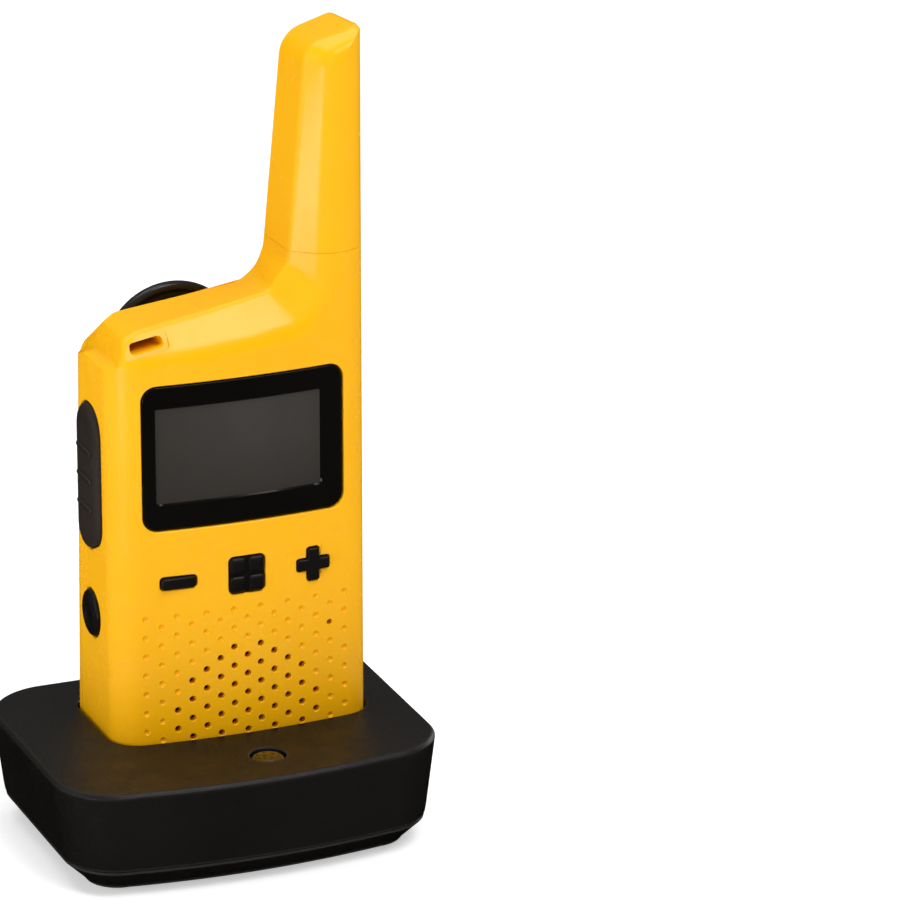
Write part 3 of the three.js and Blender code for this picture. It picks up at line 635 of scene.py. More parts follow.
def lanyard_pocket():
    return lipped(round_rect(10.9, 5.4, 1.2, -0.65, -0.3), on_chamfer, 0.5, 0.8)


def lanyard_slot():
    """The strap's hole: it goes down into the shoulder and then straight back through it."""
    corners = [(SLOT_LEFT, 104.7), (SLOT_RIGHT, 105.9), (SLOT_RIGHT, 108.1), (SLOT_LEFT, 106.9)]
    outline = corner_path([(x, z, 0.9) for x, z in corners], 5)
    path = [(-14.5, 1, 1.1), (-12.6, 0.35, 0.6), (-12, 0.1, 0.45), (-11, 0, 0.2)]
    path += [(-9, -0.25, -0.2), (-6, -0.45, -0.5), (REACH, -0.45, -0.5)]
    return loft([[(x, y, z + rise) for x, z in grown(outline, g)] for y, g, rise in path])


def grille_places():
    """[x, z, open] of the grille: odd columns sit half a pitch higher, the middle places are open."""
    last_row, columns = 6, 7
    first_open = [2, 2, 2, 3, 3, 5]
    places = []
    for column in range(-columns, columns + 1):
        side = abs(column)
        opens = first_open[side] if side < len(first_open) else last_row + 1
        for row in range(last_row + 1):
            x = column * GRILLE["pitch_x"] * (1 + 0.012 * side)
            z = GRILLE["low_z"] + (last_row - row + (side % 2) / 2) * GRILLE["pitch_z"]
            places.append((x, z, row >= opens))
    return places


MIC_HOLE = (18.4, GRILLE["low_z"] + 5 * GRILLE["pitch_z"])
DIMPLE = [(0.74, -0.5), (0.74, -0.03), (0.6, 0.2), (0.4, 0.38), (0.14, 0.46)]


def plus_outline(g):
    """The plus key's outline as a function of growth."""
    arm, half = 3.55 + g, 1.25 + g
    outer, inner = max(0.45 + g, 0.1), max(0.25 - g, 0.05)
    corners = []
    for turn in range(4):
        c, s = round(math.cos(turn * math.pi / 2)), round(math.sin(turn * math.pi / 2))
        for a, b, radius in ((arm, -half, outer), (arm, half, outer), (half, half, inner)):
            corners.append((KEY_PITCH + a * c - b * s, KEY_Z + a * s + b * c, radius))
    return corner_path(corners, 4)


KEY_OUTLINES = {
    "minus": pad(7.5, 2.5, 0.7, -KEY_PITCH, KEY_Z),
    "menu": pad(7.6, 7.8, 1, 0, KEY_Z),
    "plus": plus_outline,
}
PTT_LOW = PTT["z"] - PTT["height"] / 2
PTT_HIGH = PTT["z"] + PTT["height"] / 2
PTT_SLANT = 3.2  # how far its lower end slopes down towards the rear, either way of its middle
PTT_OUTLINE = corner_path(
    [
        (PTT["y"] - PTT["width"] / 2, PTT_LOW + PTT_SLANT, 5.4),
        (PTT["y"] + PTT["width"] / 2, PTT_LOW - PTT_SLANT, 4.8),
        (PTT["y"] + PTT["width"] / 2, PTT_HIGH, 6),
        (PTT["y"] - PTT["width"] / 2, PTT_HIGH, 6),
    ],
    10,
)
DOOR_CENTRE = (DOOR["low"] + DOOR["high"]) / 2


def door_outline(inset):
    width, height = 2 * (DOOR["half_width"] - inset), DOOR["high"] - DOOR["low"] - 2 * inset
    return round_rect(width, height, 3, 0, DOOR_CENTRE, 8)


def window_outline(g):
    width, height, radius = WINDOW["width"] + g, WINDOW["height"] + g, WINDOW["radius"] + g / 2
    return refined([round_rect(width, height, radius, 0, WINDOW["z"], 8)])[0]


def front_housing(form):
    obj = copy_of(form)
    carve(obj, half_space(1, PARTING_Y - PARTING_GAP / 2), half_space(2, SEAM_Z - SEAM_GAP / 2))
    carve(obj, inner_space())
    tools = [lipped(window_outline(0.5), on_front, 0.45, 8)]
    tools += [lipped(refined([outline(0.22)])[0], on_front, 0.22, 8) for outline in KEY_OUTLINES.values()]
    for x, z, is_open in grille_places():
        if math.hypot(x - MIC_HOLE[0], z - MIC_HOLE[1]) < 1:
            continue
        if is_open:
            tools.append(lipped(circle(x, z, GRILLE["radius"] + 0.05, 14), on_front, 0.18, 6))
        else:
            tools.append(loft([on_front(circle(x, z, r, 12), d) for r, d in DIMPLE]))
    tools.append(lipped(circle(*MIC_HOLE, 0.6, 14), on_front, 0.18, 6))
    tools.append(lipped(grown(PTT_OUTLINE, 0.25), on_side, 0.4, 8))
    side_hole = circle(SIDE_KEY["y"], SIDE_KEY["z"], SIDE_KEY["radius"] + 0.25, 40)
    tools.append(lipped(side_hole, on_side, 0.35, 8))
    for x in (-PIN["x"], PIN["x"]):
        tools.append(box(x - 2.3, x + 2.3, PIN["y"] - 1.8, PIN["y"] + 1.8, 0, 20))
    return carve(obj, gathered(tools), lanyard_pocket(), lanyard_slot())


def rear_housing(form):
    obj = combine(copy_of(form), half_space(1, PARTING_Y + PARTING_GAP / 2), "INTERSECT")
    hollow = prism_z(body_plan(WALL, HOLLOW_CORNER), RADIO_BOTTOM + WALL, REAR_HOLLOW_TOP)
    carve(hollow, half_space(1, BACK_Y - WALL))
    carve(obj, hollow)
    for x, z in SCREW_PLACES:
        boss = prism_y(circle(x, z, 3.4, 24), PARTING_Y + PARTING_GAP, BACK_Y - 1)
        weld(obj, combine(boss, copy_of(form), "INTERSECT"))
    tools = [lipped(circle(x, z, 2.6, 28), on_back, 0.35, 2.8) for x, z in SCREW_PLACES]
    tools.append(lipped(door_outline(0), on_back, 0.35, 12))
    carve(obj, gathered(tools))
    holes = [prism_y(circle(x, z, 1.4, 16), 0, REACH) for x, z in SCREW_PLACES]
    return carve(obj, gathered(holes), lanyard_slot())


def antenna_hood(form):
    obj = combine(copy_of(form), half_space(2, SEAM_Z + SEAM_GAP / 2), "INTERSECT")
    return carve(obj, antenna_channel())


WINDOW_DEPTH = 0.25
WINDOW_BACK = 1.7
SCREEN_DEPTH = 0.34
SLAB_LOW = 60  # the window is cut out of a slab that follows the bowed front
SLAB_HIGH = 110


def display_window():
    slab = prism_z(body_plan(WINDOW_DEPTH), SLAB_LOW, SLAB_HIGH)
    carve(slab, prism_z(body_plan(WINDOW_BACK), SLAB_LOW - 1, SLAB_HIGH + 1))
    surface = lambda points, d: on_front(points, d + WINDOW_DEPTH)
    combine(slab, lipped(window_outline(0), surface, 0.4, 6, rounding_out=True), "INTERSECT")
    width, height = SCREEN["right"] - SCREEN["left"], SCREEN["high"] - SCREEN["low"]
    middle = ((SCREEN["right"] + SCREEN["left"]) / 2, (SCREEN["high"] + SCREEN["low"]) / 2)
    sunk = refined([round_rect(width, height, 0.3, *middle, 2)])[0]
    levels = [(0.3, -3), (0.3, WINDOW_DEPTH - 0.02), (0, WINDOW_DEPTH + SCREEN_DEPTH), (0, 3)]
    recess = loft([on_front(grown(sunk, g), d) for g, d in levels])
    carve(recess, prism_z(body_plan(WINDOW_DEPTH + SCREEN_DEPTH), SLAB_LOW - 10, SLAB_HIGH + 10))
    carve(slab, recess)
    slab.data.materials.clear()
    slab.data.materials.append(LOOK["window"])
    slab.data.materials.append(LOOK["screen"])
    for face in slab.data.polygons:
        x, y, z = face.center
        depth = y - FRONT_Y - bow_at(x) - WINDOW_DEPTH
        inside = SCREEN["left"] < x < SCREEN["right"] and SCREEN["low"] < z < SCREEN["high"]
        face.material_index = int(inside and abs(depth - SCREEN_DEPTH) < 0.08 and face.normal.y < -0.9)
    return slab


KEY_PROUD = 0.7
KEY_STEM_END_Y = -7.5
WALL_BACK_Y = FRONT_Y + WALL
FLANGE = 9.6
KEY_LEVELS = [(-0.8, 0), (-0.5, 0.02), (-0.28, 0.08), (-0.1, 0.22), (0, 0.45), (0, 3.2)]
PAD_LEVELS = [(-1.5, 0), (-1.1, 0.03), (-0.7, 0.12), (-0.3, 0.33), (-0.08, 0.6), (0, 0.95), (0, 1.8)]


def key_body(obj, x):
    flange_y = WALL_BACK_Y + bow_at(abs(x) + FLANGE / 2) + 0.4
    flange = prism_y(round_rect(FLANGE, FLANGE, 1, x, KEY_Z), flange_y, flange_y + 1)
    return weld(obj, flange, prism_y(circle(x, KEY_Z, 1.6, 20), flange_y + 0.5, KEY_STEM_END_Y))


def front_key(name, x):
    face_y = FRONT_Y - KEY_PROUD + bow_at(x)
    place = lambda points, d: [(u, face_y + d, v) for u, v in points]
    return key_body(crowned(KEY_OUTLINES[name], place, KEY_LEVELS), x)


def menu_key():
    face_y = FRONT_Y - KEY_PROUD
    place = lambda points, d: [(u, face_y + d, v) for u, v in points]
    base = crowned(KEY_OUTLINES["menu"], place, [(-0.5, 0.75), (-0.15, 0.85), (0, 1.1), (0, 3.2)])
    pads = []
    for sx in (-1, 1):
        for sz in (-1, 1):
            pads.append(crowned(pad(3.6, 3.7, 0.8, sx * 1.98, KEY_Z + sz * 2.03), place, PAD_LEVELS))
    return key_body(weld(base, *pads), 0)


SIDE_FLANGE_X = -HALF_WIDTH + WALL + 0.4
SIDE_STEM_END_X = -23.2
RIDGE_PITCH = 6.2
RIDGE_PROUD = 0.55
PTT_LEVELS = [(-3, 0), (-2, 0.04), (-1.3, 0.16), (-0.75, 0.36), (-0.3, 0.68), (0, 1.15), (0, 3)]
RIDGE_LEVELS = [(-0.6, 0), (-0.45, 0.03), (-0.22, 0.12), (0, 0.34), (0, 1)]


def ptt_bar():
    face_x = -HALF_WIDTH - 1.1
    place = lambda points, d: [(face_x + d, u, v) for u, v in points]
    obj = crowned(PTT_OUTLINE, place, PTT_LEVELS)
    for dz in (-RIDGE_PITCH, 0, RIDGE_PITCH):
        ridge = pad(8.6, 1.3, 0.64, PTT["y"], PTT["z"] + dz)
        weld(obj, crowned(ridge, lambda points, d: place(points, d - RIDGE_PROUD), RIDGE_LEVELS))
    weld(obj, prism_x(grown(PTT_OUTLINE, 1), SIDE_FLANGE_X, SIDE_FLANGE_X + 1))
    return weld(obj, prism_x(circle(PTT["y"], PTT["z"], 2, 20), SIDE_FLANGE_X + 0.5, SIDE_STEM_END_X))


def turned(profile, place, count=48):
    """A solid of revolution: (radius, depth) pairs, put in place by a function of (u, v, depth)."""
    rings = [[place(u, v, d) for u, v in circle(0, 0, r, count)] for r, d in profile]
    return loft(rings)


def side_push():
    y, z, radius = SIDE_KEY["y"], SIDE_KEY["z"], SIDE_KEY["radius"]
    face_x = -HALF_WIDTH - 1
    profile = [(0.05, 0.5), (1.3, 0.46), (2.2, 0.34), (2.5, 0.1), (2.7, 0.02), (3.1, 0.02), (3.3, 0.1)]
    profile += [(3.6, 0.2), (4.1, 0.26), (4.5, 0.4), (4.8, 0.62), (radius, 1), (radius, 3)]
    obj = turned(profile, lambda u, v, d: (face_x + d, y + u, z + v))
    weld(obj, prism_x(circle(y, z, radius + 1, 40), SIDE_FLANGE_X, SIDE_FLANGE_X + 1))
    return weld(obj, prism_x(circle(y, z, 1.8, 20), SIDE_FLANGE_X + 0.5, SIDE_STEM_END_X))


DOOR_GRIP = {"x": 14.2, "low": 31, "pitch": 1.7, "count": 5}


def battery_door():
    outline = door_outline(CLEARANCE / 2)
    levels = [(-0.4, 0), (-0.2, 0.05), (-0.06, 0.16), (0, 0.4), (0, DOOR["thickness"])]
    obj = crowned(outline, on_back, levels)
    grooves = []
    for side in (-1, 1):
        for k in range(DOOR_GRIP["count"]):
            height = DOOR_GRIP["low"] + DOOR_GRIP["pitch"] * k
            slot = round_rect(3.4, 0.8, 0.39, side * DOOR_GRIP["x"], height, 4)
            grooves.append(lipped(slot, on_back, 0.12, 0.5))
    return carve(obj, gathered(grooves))


# ------------------------ belt clip

CLIP_GAP_Y = 19.2
CLIP_ARM = [
    (CLIP_GAP_Y, 38), (17.2, 33.5), (15.4, CLIP["tip_z"]), (17.2, CLIP["tip_z"]), (19.4, 32.4), (21.4, 37),
    (21.4, 74), (23.2, 78), (25.6, 84), (25.6, 90), (24.1, 90), (24.1, 86), (CLIP_GAP_Y, 76),
]


def belt_clip():
    x, y, z = DISC["x"], DISC["y"], DISC["z"]
    radius, depth = DISC["radius"], DISC["depth"]
    profile = [(0.05, 1.5), (5, 1.4), (9, 1.15), (12, 0.85), (12.9, 0.6), (13.3, 0.25)]
    profile += [(13.7, 0.04), (14, 0), (14.5, 0.1), (14.85, 0.35), (radius, 0.8)]
    profile += [(radius, depth - 0.8), (14.8, depth - 0.35), (14.4, depth - 0.08), (13.8, depth)]
    profile.append((0.05, depth))
    disc = turned(profile, lambda u, v, d: (x + u, y + d, z + v), 72)
    for k in range(4):
        rib = round_rect(15 - 1.6 * k, 0.9, 0.44, x, z + 2.2 * k, 4)
        carve(disc, lipped(rib, lambda points, d: [(u, y + depth - d, v) for u, v in points], 0.2, 0.5))
    x, half = CLIP["x"], CLIP["half"]
    arm = prism_x(CLIP_ARM, x - half, x + half)
    soften(arm, 0.45, 3, 40)
    hub = prism_x(circle(CLIP["hub_y"], CLIP["hub_z"], CLIP["hub_radius"], 32), x - half, x + half)
    weld(arm, hub)
    weld(disc, arm)
    room, reach = 4.2, CLIP["hub_radius"] + 0.4
    hy, hz = CLIP["hub_y"], CLIP["hub_z"]
    carve(disc, prism_x(circle(hy, hz, CLIP["pin_radius"] + CLEARANCE, 20), -REACH, REACH))
    return carve(disc, box(x - room, x + room, hy - reach, hy + reach, hz - reach, hz + reach))


def helix(radius, thickness, turns, low, high, place, sides=8, per_turn=18):
    rings = []
    for k in range(turns * per_turn + 1):
        a = 2 * math.pi * k / per_turn
        h = low + (high - low) * k / (turns * per_turn)
        ring = []
        for j in range(sides):
            b = 2 * math.pi * j / sides
            r = radius + thickness * math.cos(b)
            ring.append(place(r * math.cos(a), r * math.sin(a), h + thickness * math.sin(b)))
        rings.append(ring)
    return loft(rings)


def clip_spring():
    x, y, z = CLIP["x"], CLIP["hub_y"], CLIP["hub_z"]
    place = lambda u, v, h: (x + h, y + u, z + v)
    return helix(SPRING["radius"], SPRING["wire"], SPRING["turns"], -SPRING["half"], SPRING["half"], place)


def antenna_coil():
    place = lambda u, v, h: (ROD["x"] + u, ROD["y"] + v, h)
    return helix(COIL["radius"], COIL["wire"], COIL["turns"], COIL["low"], COIL["high"], place)


# ------------------------ cradle


def cradle_ring(inset, z, arc_steps=16, bow_steps=28):
    corner = CRADLE_CORNER - inset
    left, right = CRADLE["left"] + inset, CRADLE["right"] - inset
    back, side, apex = CRADLE["back"] - inset, CRADLE["front_side"] + inset, CRADLE["front"] + inset
    span = right - left - 2 * corner
    points = []
    for k in range(1, bow_steps):
        t = k / bow_steps
        points.append((left + corner + span * t, side + (apex - side) * 4 * t * (1 - t)))
    points += arc(right - corner, side + corner, corner, -90, 0, arc_steps)
    points += arc(right - corner, back - corner, corner, 0, 90, arc_steps)
    points += arc(left + corner, back - corner, corner, 90, 180, arc_steps)
    points += arc(left + corner, side + corner, corner, 180, 270, arc_steps)
    return [(x, y, z) for x, y in points]


def draft_at(z):
    return CRADLE_DRAFT * (CRADLE["height"] - z) / CRADLE["height"]


# Posts of the shell that the base is screwed to: their places and upper ends, and where their holes end.
BASE_SCREWS = [
    (CRADLE["left"] + 14, CRADLE["front"] + 15, CRADLE["height"] - 1, 12.4),
    (-24, 1, POCKET_FLOOR - 1, POCKET_FLOOR - 0.8),
    (CRADLE["right"] - 13, CRADLE["front"] + 15, CRADLE["height"] - 1, 12.4),
    (22, 1, POCKET_FLOOR - 1, POCKET_FLOOR - 0.8),
]
FOOT_PLACES = [
    (x, y)
    for x in (CRADLE["left"] + 22, CRADLE["right"] - 20)
    for y in (CRADLE["front"] + 14, CRADLE["back"] - 12.5)
]
POST_RADIUS = 3
POST_LOW = 4
SCREW_HOLE = 1.4
CRADLE_X = (CRADLE["left"] + CRADLE["right"]) / 2

# The bevel round the cradle's top, its two edges softened: (inset, depth below the top).
CRADLE_EDGE = [(0, 1.2), (0.04, 0.92), (0.16, 0.68), (0.68, 0.16), (0.92, 0.04), (1.2, 0)]


def cradle_shell():
    top = CRADLE["height"]
    rings = [
        cradle_ring(draft_at(BASE_SEAM) + 0.5, BASE_SEAM),
        cradle_ring(draft_at(BASE_SEAM) + 0.15, BASE_SEAM + 0.12),
        cradle_ring(draft_at(BASE_SEAM), BASE_SEAM + 0.5),
    ]
    for k in range(5):
        z = 5 + 3 * k
        rings.append(cradle_ring(draft_at(z), z))
    rings += [cradle_ring(draft_at(top - drop) + inset, top - drop) for inset, drop in CRADLE_EDGE]
    obj = loft(rings)
    inner = loft([cradle_ring(CRADLE_DRAFT + 2, 0), cradle_ring(2.8, top - 2)])
    well = prism_z(body_plan(-CLEARANCE - 1.8), POCKET_FLOOR - 1.6, top - 1)
    carve(inner, well)
    for x, y, post, _ in BASE_SCREWS:
        carve(inner, prism_z(circle(x, y, POST_RADIUS, 20), POST_LOW, post))
    carve(obj, inner)
    tools = [lipped(body_plan(-CLEARANCE - 0.1), on_top(top), 0.7, top - POCKET_FLOOR)]
    lens_hole = circle(INDICATOR["x"], INDICATOR["y"], INDICATOR["radius"] + 0.2, 40)
    tools.append(lipped(lens_hole, on_top(top), 0.3, 11))
    carve(obj, gathered(tools))
    tools = [prism_z(circle(x, y, SCREW_HOLE, 16), 0, end) for x, y, _, end in BASE_SCREWS]
    for x in (-PIN["x"], PIN["x"]):
        tools.append(prism_z(circle(x, PIN["y"], PIN["radius"] + CLEARANCE, 24), 0, 16))
    width, height = 2 * SOCKET["half_width"] + 0.5, SOCKET["height"] + 0.5
    inlet = round_rect(width, height, 0.8, CRADLE_X, SOCKET["low"] + SOCKET["height"] / 2, 4)
    tools.append(prism_y(inlet, 15, REACH))
    return carve(obj, gathered(tools))


def cradle_base():
    """A tray whose sloping sides draw the cradle in towards the table."""
    upper, lip_z, floor_z = draft_at(BASE_SEAM) + 0.3, BASE_SEAM - 0.15, BASE_BOTTOM + 1.6
    rings = []
    for k in range(5):
        a = math.pi / 2 * k / 4
        rings.append((BASE_INSET + 0.9 * (1 - math.sin(a)), BASE_BOTTOM + 0.7 * (1 - math.cos(a))))
    rings += [(upper, lip_z - 0.5), (upper + 0.05, lip_z - 0.2), (upper + 0.25, lip_z)]
    obj = loft([cradle_ring(inset, z) for inset, z in rings])
    hollow = [(BASE_INSET + 2, floor_z), (upper + 2, lip_z - 0.4), (upper + 2, lip_z + 1)]
    carve(obj, loft([cradle_ring(inset, z) for inset, z in hollow]))
    for x, y, _, _ in BASE_SCREWS:
        weld(obj, prism_z(circle(x, y, POST_RADIUS, 20), floor_z - 1, POST_LOW - CLEARANCE))
    tools = [prism_z(circle(x, y, 2.4, 24), -REACH, BASE_BOTTOM + 1.2) for x, y, _, _ in BASE_SCREWS]
    tools += [prism_z(circle(x, y, 3.9, 28), -REACH, BASE_BOTTOM + 0.4) for x, y in FOOT_PLACES]
    carve(obj, gathered(tools))
    holes = [prism_z(circle(x, y, SCREW_HOLE, 16), -REACH, 10) for x, y, _, _ in BASE_SCREWS]
    return carve(obj, gathered(holes))


def indicator_lens():
    top, x, y, radius = CRADLE["height"] - 0.1, INDICATOR["x"], INDICATOR["y"], INDICATOR["radius"]
    profile = [(0.05, 0), (1.4, 0.03), (2.4, 0.12), (3.1, 0.3), (3.5, 0.6), (radius, 1), (radius, 3.4)]
    return turned(profile, lambda u, v, d: (x + u, y + v, top - d))


# ------------------------ materials


class Nodes:
    """Short way to build a material's node tree in object coordinates (metres)."""

    def __init__(self, name):
        self.material = bpy.data.materials.new(name)
        self.material.use_nodes = True
        self.tree = self.material.node_tree
        self.shader = self.tree.nodes["Principled BSDF"]
        self.place = self.add("ShaderNodeTexCoord").outputs["Object"]

    def add(self, kind, inputs=None, **settings):
        node = self.tree.nodes.new(kind)
        for key, value in settings.items():
            setattr(node, key, value)
        for key, value in (inputs or {}).items():
            self.feed(node.inputs[key], value)
        return node

    def feed(self, socket, value):
        if isinstance(value, bpy.types.NodeSocket):
            self.tree.links.new(value, socket)
        else:
            socket.default_value = value

    def noise(self, scale, detail=3.0, roughness=0.5, stretch=None):
        place = self.place
        if stretch:
            place = self.add("ShaderNodeMapping", {"Vector": place, "Scale": stretch}).outputs[0]
        inputs = {"Vector": place, "Scale": scale, "Detail": detail, "Roughness": roughness}
        return self.add("ShaderNodeTexNoise", inputs).outputs["Fac"]

    def span(self, value, low, high, start=0.3, end=0.7):
        inputs = {"Value": value, "From Min": start, "From Max": end, "To Min": low, "To Max": high}
        return self.add("ShaderNodeMapRange", inputs).outputs[0]

    def mix(self, share, first, second):
        node = self.add("ShaderNodeMix", {"Factor": share}, data_type="RGBA")
        for socket, value in ((node.inputs[6], first), (node.inputs[7], second)):
            self.feed(socket, value if isinstance(value, bpy.types.NodeSocket) else (*value, 1))
        return node.outputs[2]

    def edge_wear_and_sheen(self, radius):
        """1 along rounded edges, 0 elsewhere; a lighter colour there is a painted highlight that also reads
        as rubbed wear.
        """
        round_normal = self.add("ShaderNodeBevel", {"Radius": radius}, samples=4).outputs[0]
        true_normal = self.add("ShaderNodeNewGeometry").outputs["True Normal"]
        dot = self.add("ShaderNodeVectorMath", {0: round_normal, 1: true_normal}, operation="DOT_PRODUCT")
        return self.span(dot.outputs["Value"], 1.0, 0.0, 0.82, 0.99)

    def bump(self, height, distance):
        inputs = {"Height": height, "Distance": distance, "Strength": 1.0}
        return self.add("ShaderNodeBump", inputs).outputs[0]

    def set(self, **values):
        for key, value in values.items():
            socket = self.shader.inputs[key.replace("_", " ")]
            if isinstance(value, tuple) and len(value) == 3:
                value = (*value, 1)
            self.feed(socket, value)
        return self.material


def moulded(name, base, darker, roughness, grain_size, grain_depth, coat=0.0, specular=0.5, edge_wear_and_sheen=None):
    """Moulded plastic or rubber: slight colour drift, a fine grain, roughness that varies with handling, and
    if given a lighter colour along the edges, which is a painted highlight that also reads as wear.
    """
    n = Nodes(name)
    drift = n.span(n.noise(28, 2), 0.0, 1.0, 0.35, 0.65)
    colour = n.mix(drift, base, darker)
    rough = n.span(n.noise(160, 4, 0.6), roughness * 0.82, roughness * 1.25)
    # painted highlight: the edges get a lighter colour, read also as wear
    if edge_wear_and_sheen:
        edge = n.edge_wear_and_sheen(edge_wear_and_sheen[1])
        colour = n.mix(edge, colour, edge_wear_and_sheen[0])
    grain = n.noise(grain_size, 4, 0.65)
    values = {"Base_Color": colour, "Roughness": rough, "Normal": n.bump(grain, grain_depth)}
    material = n.set(**values)
    n.shader.inputs["Specular IOR Level"].default_value = specular
    n.shader.inputs["Coat Weight"].default_value = coat
    n.shader.inputs["Coat Roughness"].default_value = 0.08
    return material


def metal(name, base, roughness, stretch):
    n = Nodes(name)
    drift = n.span(n.noise(90, 3), 0.0, 1.0)
    brushed = n.noise(900, 3, 0.6, stretch)
    shade = tuple(c * 0.8 for c in base)
    rough = n.span(brushed, roughness * 0.7, roughness * 1.4)
    n.set(Base_Color=n.mix(drift, base, shade), Roughness=rough, Normal=n.bump(brushed, 0.00001))
    n.shader.inputs["Metallic"].default_value = 1.0
    return n.material


def screen_look():
    """Unlit display under its clear window; its colour is painted a little lighter towards its top middle, a
    painted sheen of the light falling there.
    """
    n = Nodes("screen")
    centre = (SHIFT.x + 0.004, 0, SHIFT.z + 0.090)
    apart = n.add("ShaderNodeVectorMath", {0: n.place, 1: centre}, operation="SUBTRACT").outputs[0]
    flat = n.add("ShaderNodeVectorMath", {0: apart, 1: (1, 0, 1.6)}, operation="MULTIPLY").outputs[0]
    away = n.add("ShaderNodeVectorMath", {0: flat}, operation="LENGTH").outputs["Value"]
    # painted sheen: lighter near the top middle, darker away from it
    share = n.span(away, 0.0, 1.0, 0.004, 0.032)
    cloud = n.span(n.noise(120, 3), 0.0, 0.3)
    colour = n.mix(share, (0.046, 0.042, 0.038), (0.030, 0.025, 0.021))
    rough = n.span(n.noise(300, 2), 0.2, 0.26)
    n.set(Base_Color=n.mix(cloud, colour, (0.032, 0.030, 0.030)), Roughness=rough)
    n.shader.inputs["Specular IOR Level"].default_value = 0.1
    return n.material


YELLOW = (0.91, 0.445, 0.003)
DEEPER_YELLOW = (0.89, 0.42, 0.002)
CRADLE_EDGE_WEAR_AND_SHEEN = ((0.05, 0.046, 0.042), 0.0009)  # lighter colour painted on its edges as a highlight that also reads as rubbing, and how wide it is

LOOK = {
    "housing": moulded("housing", YELLOW, DEEPER_YELLOW, 0.25, 2600, 0.000005, specular=0.24),
    "antenna": moulded("antenna", YELLOW, DEEPER_YELLOW, 0.23, 2600, 0.000004, specular=0.24),
    "keys": moulded(
        "keys", (0.006, 0.005, 0.0045), (0.009, 0.0075, 0.007), 0.3, 2400, 0.000015, specular=0.1
    ),
    "ptt": moulded(
        "ptt", (0.022, 0.0165, 0.0135), (0.028, 0.021, 0.017), 0.5, 3200, 0.00004, specular=0.12
    ),
    "window": moulded(
        "window", (0.003, 0.0025, 0.002), (0.004, 0.0035, 0.003), 0.07, 600, 0.000001, specular=0.1
    ),
    "screen": screen_look(),
    "clip": moulded(
        "clip", (0.006, 0.0055, 0.0055), (0.009, 0.008, 0.008), 0.24, 2000, 0.00001, specular=0.3
    ),
    # the cradle's lighter edges are a painted highlight along its rounded edges, also read as wear
    "cradle": moulded(
        "cradle", (0.0062, 0.0056, 0.005), (0.008, 0.007, 0.0062), 0.36, 2800, 0.00008,
        specular=0.15, edge_wear_and_sheen=CRADLE_EDGE_WEAR_AND_SHEEN,
    ),
    "foot": moulded("foot", (0.02, 0.02, 0.02), (0.028, 0.026, 0.025), 0.8, 3000, 0.00006),
    "indicator": moulded(
        "indicator", (0.005, 0.0045, 0.004), (0.008, 0.007, 0.006), 0.12, 900, 0.000003, coat=0.3
    ),
    "steel": metal("steel", (0.62, 0.62, 0.61), 0.3, (1, 1, 12)),
    "contact": metal("contact", (0.83, 0.55, 0.2), 0.25, (1, 8, 1)),
    "board": moulded("board", (0.02, 0.13, 0.06), (0.015, 0.1, 0.05), 0.4, 1400, 0.00003),
    "inner_plastic": moulded("inner_plastic", (0.02, 0.02, 0.02), (0.03, 0.029, 0.028), 0.5, 2600, 0.00004),
    "cell": moulded("cell", (0.08, 0.15, 0.1), (0.06, 0.12, 0.08), 0.35, 500, 0.00001, coat=0.3),
}

# ------------------------ pieces into the frame


def fit(name, obj, body, slot, *nodes, angle=38):
    """Puts a finished shape into the frame as the piece that stands for those CAD nodes."""
    obj.name = name
    obj.data.name = name
    for vertex in obj.data.vertices:
        vertex.co = vertex.co * MM + SHIFT
    if slot != "window":
        obj.data.materials.clear()
        obj.data.materials.append(LOOK[slot])
        for face in obj.data.polygons:
            face.material_index = 0
    obj.data.shade_smooth()
    obj.data.set_sharp_from_angle(angle=math.radians(angle))
    mod = obj.modifiers.new("even_normals", "WEIGHTED_NORMAL")
    mod.keep_sharp = True
    mod.weight = 60
    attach(obj, body)
    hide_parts(*nodes)
    return obj


form = radio_form()
fit("front_shell", front_housing(form), "radio", "housing", "front_housing")
fit("rear_shell", rear_housing(form), "radio", "housing", "rear_housing")
fit("antenna_hood", antenna_hood(form), "radio", "antenna", "antenna_cover")
drop(form)
fit("display_window", display_window(), "radio", "window", "display_lens")
fit("minus_key", front_key("minus", -KEY_PITCH), "minus_key", "keys", "minus_button")
fit("menu_key", menu_key(), "menu_key", "keys", "menu_button")
fit("plus_key", front_key("plus", KEY_PITCH), "plus_key", "keys", "plus_button")
fit("ptt_bar", ptt_bar(), "ptt_bar", "ptt", "ptt_button")
fit("side_push", side_push(), "side_key", "keys", "side_button")
fit("battery_cover", battery_door(), "battery_cover", "housing", "battery_door")
fit("clip_arm", belt_clip(), "clip_arm", "clip", "belt_clip")
fit("spring", clip_spring(), "battery_cover", "steel", "clip_spring")
fit("loading_coil", antenna_coil(), "radio", "contact", "antenna_coil")
fit("cradle_top", cradle_shell(), "cradle", "cradle", "cradle_shell")
fit("cradle_plate", cradle_base(), "cradle", "cradle", "cradle_base")
fit("indicator", indicator_lens(), "cradle", "indicator", "indicator_lens")

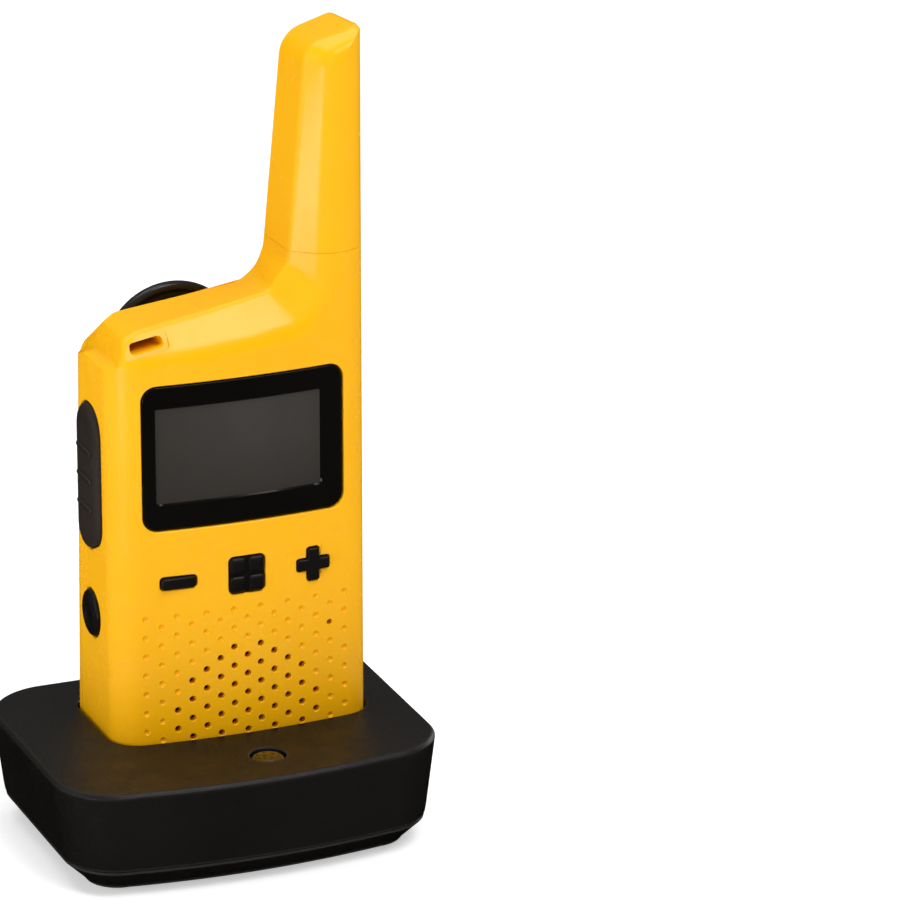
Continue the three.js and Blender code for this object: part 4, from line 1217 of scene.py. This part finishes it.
CARRIED = {
    "antenna_core": "inner_plastic", "lcd_module": "screen", "main_board": "board", "rf_shield": "steel",
    "minus_dome": "steel", "menu_dome": "steel", "plus_dome": "steel", "ptt_switch": "inner_plastic",
    "side_switch": "inner_plastic", "speaker_basket": "steel", "speaker_cone": "inner_plastic",
    "speaker_magnet": "steel", "microphone": "steel", "battery_bay": "inner_plastic",
    "battery_contact_low": "steel", "battery_contact_high": "steel", "clip_bracket": "clip",
    "clip_pin": "steel", "cradle_board": "board", "usb_socket": "steel",
}
CARRIED |= {f"housing_screw_{k}": "steel" for k in range(1, 5)}
CARRIED |= {f"base_screw_{k}": "steel" for k in range(1, 5)}
CARRIED |= {f"foot_{k}": "foot" for k in range(1, 5)}
CARRIED |= {f"battery_cell_{k}": "cell" for k in range(1, 4)}
CARRIED |= {f"charge_pad_{k}": "contact" for k in (1, 2)}
CARRIED |= {f"charge_pin_{k}": "contact" for k in (1, 2)}
EDGE = {"clip_bracket": 0.4, "usb_socket": 0.12, "clip_pin": 0.25, "main_board": 0.15, "rf_shield": 0.3}
for node, look in CARRIED.items():
    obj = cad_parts[node]
    obj.data.materials.clear()
    obj.data.materials.append(LOOK[look])
    mod = obj.modifiers.new("soft_edges", "BEVEL")
    mod.width = EDGE.get(node, 0.1) * MM
    mod.segments = 2
    mod.limit_method = "ANGLE"
    mod.angle_limit = math.radians(50)

# ------------------------ studio


def add_area(name, energy, size, location, target=(0, 0, 0.08), size_y=None):
    light = bpy.data.lights.new(name, "AREA")
    light.energy = energy
    light.size = size
    if size_y:
        light.shape = "RECTANGLE"
        light.size_y = size_y
    obj = bpy.data.objects.new(name, light)
    obj.location = location
    obj.rotation_mode = "QUATERNION"
    obj.rotation_quaternion = (Vector(target) - Vector(location)).to_track_quat("-Z", "Y")
    obj.visible_camera = False
    scene.collection.objects.link(obj)


def add_studio():
    world = bpy.data.worlds.new("studio")
    scene.world = world
    world.use_nodes = True
    nodes, links = world.node_tree.nodes, world.node_tree.links
    around = nodes.new("ShaderNodeSeparateXYZ")
    links.new(nodes.new("ShaderNodeTexCoord").outputs["Generated"], around.inputs[0])
    fade = nodes.new("ShaderNodeMapRange")  # bright overhead, dark at the horizon and below
    links.new(around.outputs["Z"], fade.inputs["Value"])
    for socket, value in (("From Min", 0.0), ("From Max", 0.6), ("To Min", 0.0), ("To Max", 0.3)):
        fade.inputs[socket].default_value = value
    links.new(fade.outputs[0], nodes["Background"].inputs["Strength"])
    nodes["Background"].inputs["Color"].default_value = (1, 1, 1, 1)
    reach = 4
    corners = [(-reach, -reach, 0), (reach, -reach, 0), (reach, reach, 0), (-reach, reach, 0)]
    floor = new_object("floor", corners, [(0, 1, 2, 3)])
    n = Nodes("floor")
    n.set(Base_Color=n.mix(n.span(n.noise(6, 2), 0, 1), (0.8, 0.8, 0.8), (0.78, 0.78, 0.78)))
    n.shader.inputs["Roughness"].default_value = 0.7
    n.shader.inputs["Specular IOR Level"].default_value = 0.2
    n.shader.inputs["Emission Color"].default_value = (1, 1, 1, 1)
    n.shader.inputs["Emission Strength"].default_value = 0.45
    floor.data.materials.append(n.material)
    floor.visible_glossy = False
    add_area("top_front", 7.3, 0.58, (0.24, -0.5, 0.95), (0, 0, 0.105), size_y=0.5)
    add_area("front_fill", 1.0, 0.8, (-0.45, -0.95, 0.32))
    add_area("left_fill", 3.2, 0.8, (-1.0, 0.1, 0.3), (0, 0, 0.05))
    add_area("right", 2.0, 0.3, (0.9, 0.45, 0.2))
    add_area("left", 0.32, 0.15, (-0.32, -0.18, 0.038), (0.02, 0, 0.12), size_y=0.072)
    add_area("overhead", 5.5, 0.8, (-0.2, 0.3, 1.1))
    scene.view_settings.view_transform = "Standard"


add_studio()
